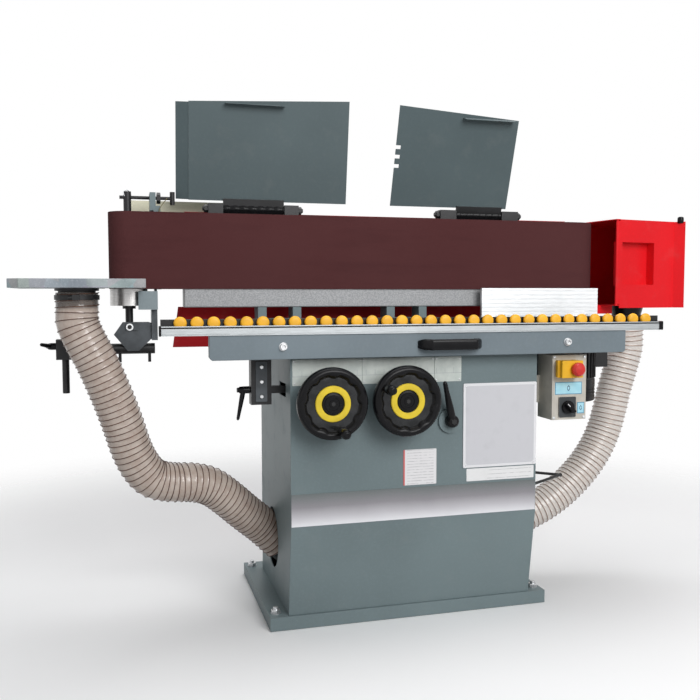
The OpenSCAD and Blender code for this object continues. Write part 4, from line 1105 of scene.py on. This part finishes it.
def rotary_knob():
    place = front(424, -284.3, 558) @ Matrix.Rotation(math.radians(45), 4, "Z")
    knob = Shape().turned([(0, 0), (17.4, 0), (18, 0.8), (18, 5.8), (16.8, 7.6), (0, 8.0)], place, 56)
    grip = [
        (-5.0, -16), (-3.6, -17.5), (3.6, -17.5), (5.0, -16), (5.4, 0), (4.2, 13), (2.2, 17.5),
        (-2.2, 17.5), (-4.2, 13), (-5.4, 0),
    ]
    knob.plate(grip, 7.0, 22.0, place)
    black = "black_plastic"
    fit(knob, "rotary_switch_knob", black, "rotary_knob", ("rotary_knob",), 0.9, 3, 40)
    mark = Shape().plate([(-0.9, 5), (0.9, 5), (0.9, 16.2), (-0.9, 16.2)], 21.9, 22.5, place)
    fit(mark, "rotary_switch_mark", "blank_plate", "rotary_knob")


rotary_knob()


# Motor below the drive drum

def motor():
    """Cooling fins of the motor, and its grooved fan cowl with a guard below."""
    motor_r, fin_n = 92.0, 36
    place = Matrix.Translation((*DRIVE, 0))
    fins = Shape()
    for k in range(fin_n):
        turn = place @ Matrix.Rotation(2 * math.pi * k / fin_n, 4, "Z")
        fins.block((motor_r - 4, -1.4, 612), (motor_r + 4, 1.4, 694), turn)
    fit(fins, "motor_fins", "black_iron", "head", ease=0.5, steps=1)
    side = [(88, 540), (92, 541.5), (93.9, 545), (93.9, 556)]
    for z in (558, 568, 578):
        side += [(92.4, z), (92.4, z + 3), (93.9, z + 4), (93.9, z + 9)]
    cowl = Shape().turned([*side, (93.9, 607), (91, 607), (91, 543), (88, 543)], place, 96, True)
    for r in (18, 32, 46, 60, 74):
        cowl.turned([(r - 3, 540), (r + 3, 540), (r + 3, 543), (r - 3, 543)], place, 72, True)
    for k in range(4):
        cowl.block((14, -4, 541), (90, 4, 543.5), place @ Matrix.Rotation(math.pi * k / 2, 4, "Z"))
    fit(cowl, "motor_fan_cowl", "black_plastic", "head", ("motor_cowl",))


motor()


# Idler end: cotter ring on the axle, washer of its slot, a dark plate over the slot as painted shade, and the
# web strap of the cover

def idler_trim():
    turn = facing((*IDLER, 1129), (0.5, -0.8, 0.2))
    angles = [2 * math.pi * k / 40 for k in range(41)]
    ring = [turn @ Vector((11 * math.cos(a), 11 * math.sin(a), 0)) for a in angles]
    cotter = Shape().sweep(ring, [1.3] * len(ring), 10)
    fit(cotter, "axle_cotter_ring", "zinc_steel", "idler_carriage", smooth=60)
    washer = Shape()
    washer.turned([(5.3, 0), (9.6, 0), (9.2, 1.0), (5.7, 1.0)], front(IDLER[0], -40.1, 780), 36, True)
    fit(washer, "slot_washer", "bright_alu", "idler_carriage", smooth=25)
    # painted shade: a dark plate over the slot stands for the shade inside it
    cover = Shape().plate(rounded(IDLER[0] - 11, 771, IDLER[0] + 25, 789, 3), 0, 3.4, front(0, -36.3, 0))
    fit(cover, "slot_shade_plate", "gusset_iron", "idler_carriage", ease=0.5, steps=1)
    line = [(-645, 1078), (-642, 1090), (-636, 1100), (-629, 1109), (-623, 1117)]
    strap = Shape().loft(
        [(x - 1, -52, z), (x + 1, -52, z), (x + 1, -38, z), (x - 1, -38, z)] for x, z in line)
    fit(strap, "cover_web_strap", "olive_web", "head", ease=0.4, steps=1)


idler_trim()


# Guide blocks of the table: gib plates, wiper collars and screws

GUIDE_X, GUIDE_Y, GUIDE_FRONT = 398.5, -155.0, -173.0


def guide_trim():
    """The control box leaves no room for screws on the right block."""
    collar = [(13.5, 700), (19.5, 700), (19.5, 705), (17.5, 707), (13.5, 707)]
    plates, screws = Shape(), Shape()
    for x in (-GUIDE_X, GUIDE_X):
        plates.plate(rounded(x - 15, 588, x + 15, 692, 3), 0, 3.0, front(0, GUIDE_FRONT, 0))
        plates.turned(collar, Matrix.Translation((x, GUIDE_Y, 0)), 40, True)
    for z in (602, 640, 678):
        screws.hexagon(9, 3, 8.4, front(-GUIDE_X, GUIDE_FRONT, z), 0.8)
    fit(plates, "guide_gib_plates", "gusset_iron", "cross_carriage", ease=0.6)
    fit(screws, "guide_gib_screws", "zinc_steel", "cross_carriage", smooth=25)


guide_trim()


# Hood: knob of its door and the bent flange below its floor

HOOD = Matrix.Translation((675, -105, 0)) @ Matrix.Rotation(math.radians(10), 4, "Z")


def hood_trim():
    """In the hood's own frame, turned a little from the belt's line."""
    profile = [
        (0, 1083), (6.5, 1083), (8.8, 1085), (9.4, 1088), (9.4, 1098), (8.4, 1101.4), (5.0, 1103.2), (0, 1103.6),
    ]
    knob = Shape().turned(profile, HOOD @ Matrix.Translation((249, -18, 0)), 40)
    fit(knob, "hood_door_knob", "black_plastic", "hood_door", smooth=40)
    flange = Shape().plate([(-14, 52), (46, 52), (46, 54.5), (-14, 54.5)], 806.0, 831.4, HOOD)
    fit(flange, "hood_floor_flange", "red_paint", "head", ease=0.6, steps=1)


hood_trim()


# Hinge sleeves of the covers

HINGE_Y, HINGE_Z = -11.0, 1097.0


def hinge_sleeve(name, body, x0, x1):
    """Banded sleeve round a cover's hinge tube."""
    long, bands, end = x1 - x0, 7, 0.6
    each = (long - 2 * end) / bands
    profile = [(11.0, 0.0), (12.6, end)]
    for k in range(bands):
        near = end + k * each
        profile += [(13.2, near + 2.0), (13.2, near + each * 0.55)]
        profile += [(12.2, near + each * 0.6), (12.2, near + each * 0.95)]
    profile += [(12.6, long - end), (11.0, long)]
    sleeve = Shape().turned(profile, facing((x0, HINGE_Y, HINGE_Z), (1, 0, 0)), 40, True)
    fit(sleeve, name, "black_plastic", body, smooth=30)


hinge_sleeve("left_hinge_sleeve", "left_cover", -473.0, -307.0)
hinge_sleeve("right_hinge_sleeve", "right_cover", 204.0, 346.0)


# Back of the machine: service panel of the column and bolts of the guard

COLUMN_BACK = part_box("column")[1][1] / MM
GUARD_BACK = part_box("rear_guard")[1][1] / MM


def machine_back():
    place = behind(0, COLUMN_BACK, 0)
    panel = Shape().plate(rounded(-230, 330, 230, 640, 12), 0, 2.0, place)
    for row in range(6):
        z = 575.0 - row * 16.0
        panel.plate([(-80, z), (80, z), (80, z + 7), (-80, z + 7)], 1.8, 4.2, place)
    fit(panel, "service_panel", "grey_paint", "frame", ease=1.2)
    screw = [(0, 0), (6.0, 0), (5.8, 2.0), (4.0, 3.6), (1.6, 4.0), (1.4, 2.4), (0, 2.4)]
    screws, bolts = Shape(), Shape()
    for x in (-215, 0, 215):
        for z in (345, 625):
            screws.turned(screw, behind(x, COLUMN_BACK + 2.0, z), 28)
    fit(screws, "service_panel_screws", "zinc_steel", "frame", smooth=30)
    for x in (-480, -200, 80, 360, 560):
        for z in (850, 1060):
            spot = behind(x, GUARD_BACK, z)
            bolts.turned([(0, 0), (9, 0), (9, 1.6), (0, 1.6)], spot, 32)
            bolts.hexagon(13, 1.6, 7.2, spot)
    fit(bolts, "guard_bolts", "zinc_steel", "head", smooth=25)


machine_back()


# Eased solids of the main castings and sheets

eased("base_plate", "grey_paint", 2.0)
eased("column", "grey_paint", 2.0)
eased("table_apron", "apron_paint", 1.6)
eased("table_top", "grey_paint", 1.2)
eased("control_box", "box_plastic", 1.1)
eased("control_lid", "box_plastic", 0.4)
eased("platen_beam", "beam_hammer", 3.0, 3)
eased("hinge_blocks", "black_iron", 1.6)
side_table = eased("aux_table", "zinc_plate", 1.2)
second_finish(side_table, "black_iron", lambda p: p.z < 880.5)
eased("hood_door", "red_paint", 0.0, 1, False, 20.0)
hood = eased("hood", "red_paint", 0.8)
second_finish(hood, "black_plastic", lambda p: p.z < 830.5)
for cover in ("left_cover", "right_cover"):
    sheet = eased(cover, "cover_paint", 0.5)
    second_finish(sheet, "black_iron", lambda p: math.hypot(p.y - HINGE_Y, p.z - HINGE_Z) < 24.0)
eased("switch_housing", "switch_yellow", 2.0)
eased("switch_flap", "switch_yellow", 3.0, 3)
eased("aux_arm", "black_iron", 1.4)
yoke = eased("yoke_frame", "grey_paint", 1.0)
second_finish(yoke, "black_iron", lambda p: p.y > -30.0 and p.z < 740.0)
second_finish(yoke, "gusset_iron", lambda p: p.y < -30.0 and p.z < 800.0)
second_finish(yoke, "pale_block_paint", lambda p: p.x < -668.0 and p.y < -60.0 and p.z > 820.0)
eased("head_bushes", "grey_paint", 1.2)

# Solids that keep their own shape, by finish
KEPT_SOLIDS = {
    "steel": ("height_shaft", "infeed_screw", "bevel_pinion", "lift_screw", "guide_bars"),
    "drum_steel": ("drive_drum", "idler_drum"),
    "black_iron": ("hose_hook", "cross_carriage", "motor_body", "idler_carriage"),
    "iron": ("head_saddle",),
    "bronze": ("lift_nut",),
    "graphite": ("platen_pad",),
    "grey_paint": ("shaft_bushes",),
    "dark_paint": ("dust_duct",),
    "guard_paint": ("rear_guard",),
    "cream_paint": ("rear_panel",),
    "red_plastic": ("stop_button",),
    "green_plastic": ("start_button",),
}
for finish, kept in KEPT_SOLIDS.items():
    for node in kept:
        for spot in NODES[node].material_slots:
            spot.material = FINISHES[finish]


# Floor, backdrop and light

def background_ray(finish):
    """1 where the pale background is looked at, straight, in metal or through the hose film."""
    seen, mirrored, through = (
        finish.node("ShaderNodeLightPath", output=f"Is {kind} Ray")
        for kind in ("Camera", "Glossy", "Transmission"))
    return seen.maths("MAXIMUM", seen, seen.maths("MAXIMUM", mirrored, through))


def pale_floor():
    """Round sheet that keeps the shadow and fades into the backdrop."""
    f = Finish("pale_floor")
    across = f.node("ShaderNodeVectorMath", {"operation": "LENGTH"}, {0: f.place()}, "Value")
    pale = f.mix(f.noise(600, 2.0), (0.93, 0.93, 0.93), (0.96, 0.96, 0.96))
    tone = f.mix(background_ray(f), (0.50, 0.50, 0.50), pale)
    diffuse = f.node("ShaderNodeBsdfDiffuse", None, {"Color": tone})
    clear = f.node("ShaderNodeBsdfTransparent")
    faded = f.node("ShaderNodeMixShader", None, {0: across.step(1.2, 2.6), 1: diffuse, 2: clear})
    f.node("ShaderNodeOutputMaterial", None, {"Surface": faded})
    FINISHES["pale_floor"] = f.material
    floor, radius, sides = Shape(), 3200, 96
    rim = [math.radians(360 * k / sides) for k in range(sides)]
    floor.bm.faces.new([floor.vert((radius * math.cos(a), radius * math.sin(a), -1.0)) for a in rim])
    sheet = floor.object("pale_floor", "pale_floor")


def soft_studio():
    """Soft light from all round, lower to the sides, before a white backdrop."""
    world = bpy.data.worlds.new("soft_studio")
    bpy.context.scene.world = world
    sky = Finish("soft_studio", world)
    way = sky.node("ShaderNodeTexCoord", output="Generated")
    rightward = sky.node("ShaderNodeSeparateXYZ", None, {0: way}, "X")
    level = 0.52 - 0.27 * abs(rightward).step(0.1, 0.9)
    soft = sky.node("ShaderNodeBackground", None, {"Color": (0.97, 0.98, 1.0, 1.0), "Strength": level})
    white = sky.node("ShaderNodeBackground", None, {"Color": (1.0, 1.0, 1.0, 1.0), "Strength": 1.0})
    chosen = sky.node("ShaderNodeMixShader", None, {0: background_ray(sky), 1: soft, 2: white})
    sky.node("ShaderNodeOutputWorld", None, {"Surface": chosen})


def softbox(name, place, aim, size, power):
    lamp = bpy.data.lights.new(name, "AREA")
    lamp.shape = "SQUARE"
    lamp.size = size
    lamp.energy = power
    lamp_object = bpy.data.objects.new(name, lamp)
    lamp_object.location = place
    lamp_object.rotation_euler = (Vector(place) - Vector(aim)).to_track_quat("Z", "Y").to_euler()
    bpy.context.scene.collection.objects.link(lamp_object)


pale_floor()
soft_studio()
softbox("key_softbox", (0.9, -4.2, 2.6), (0, 0, 0.7), 2.4, 135.0)
softbox("fill_softbox", (-3.4, -2.4, 2.0), (0, 0, 0.8), 1.6, 4.0)
softbox("top_softbox", (0.2, 0.4, 3.8), (0, 0, 0.6), 2.6, 60.0)
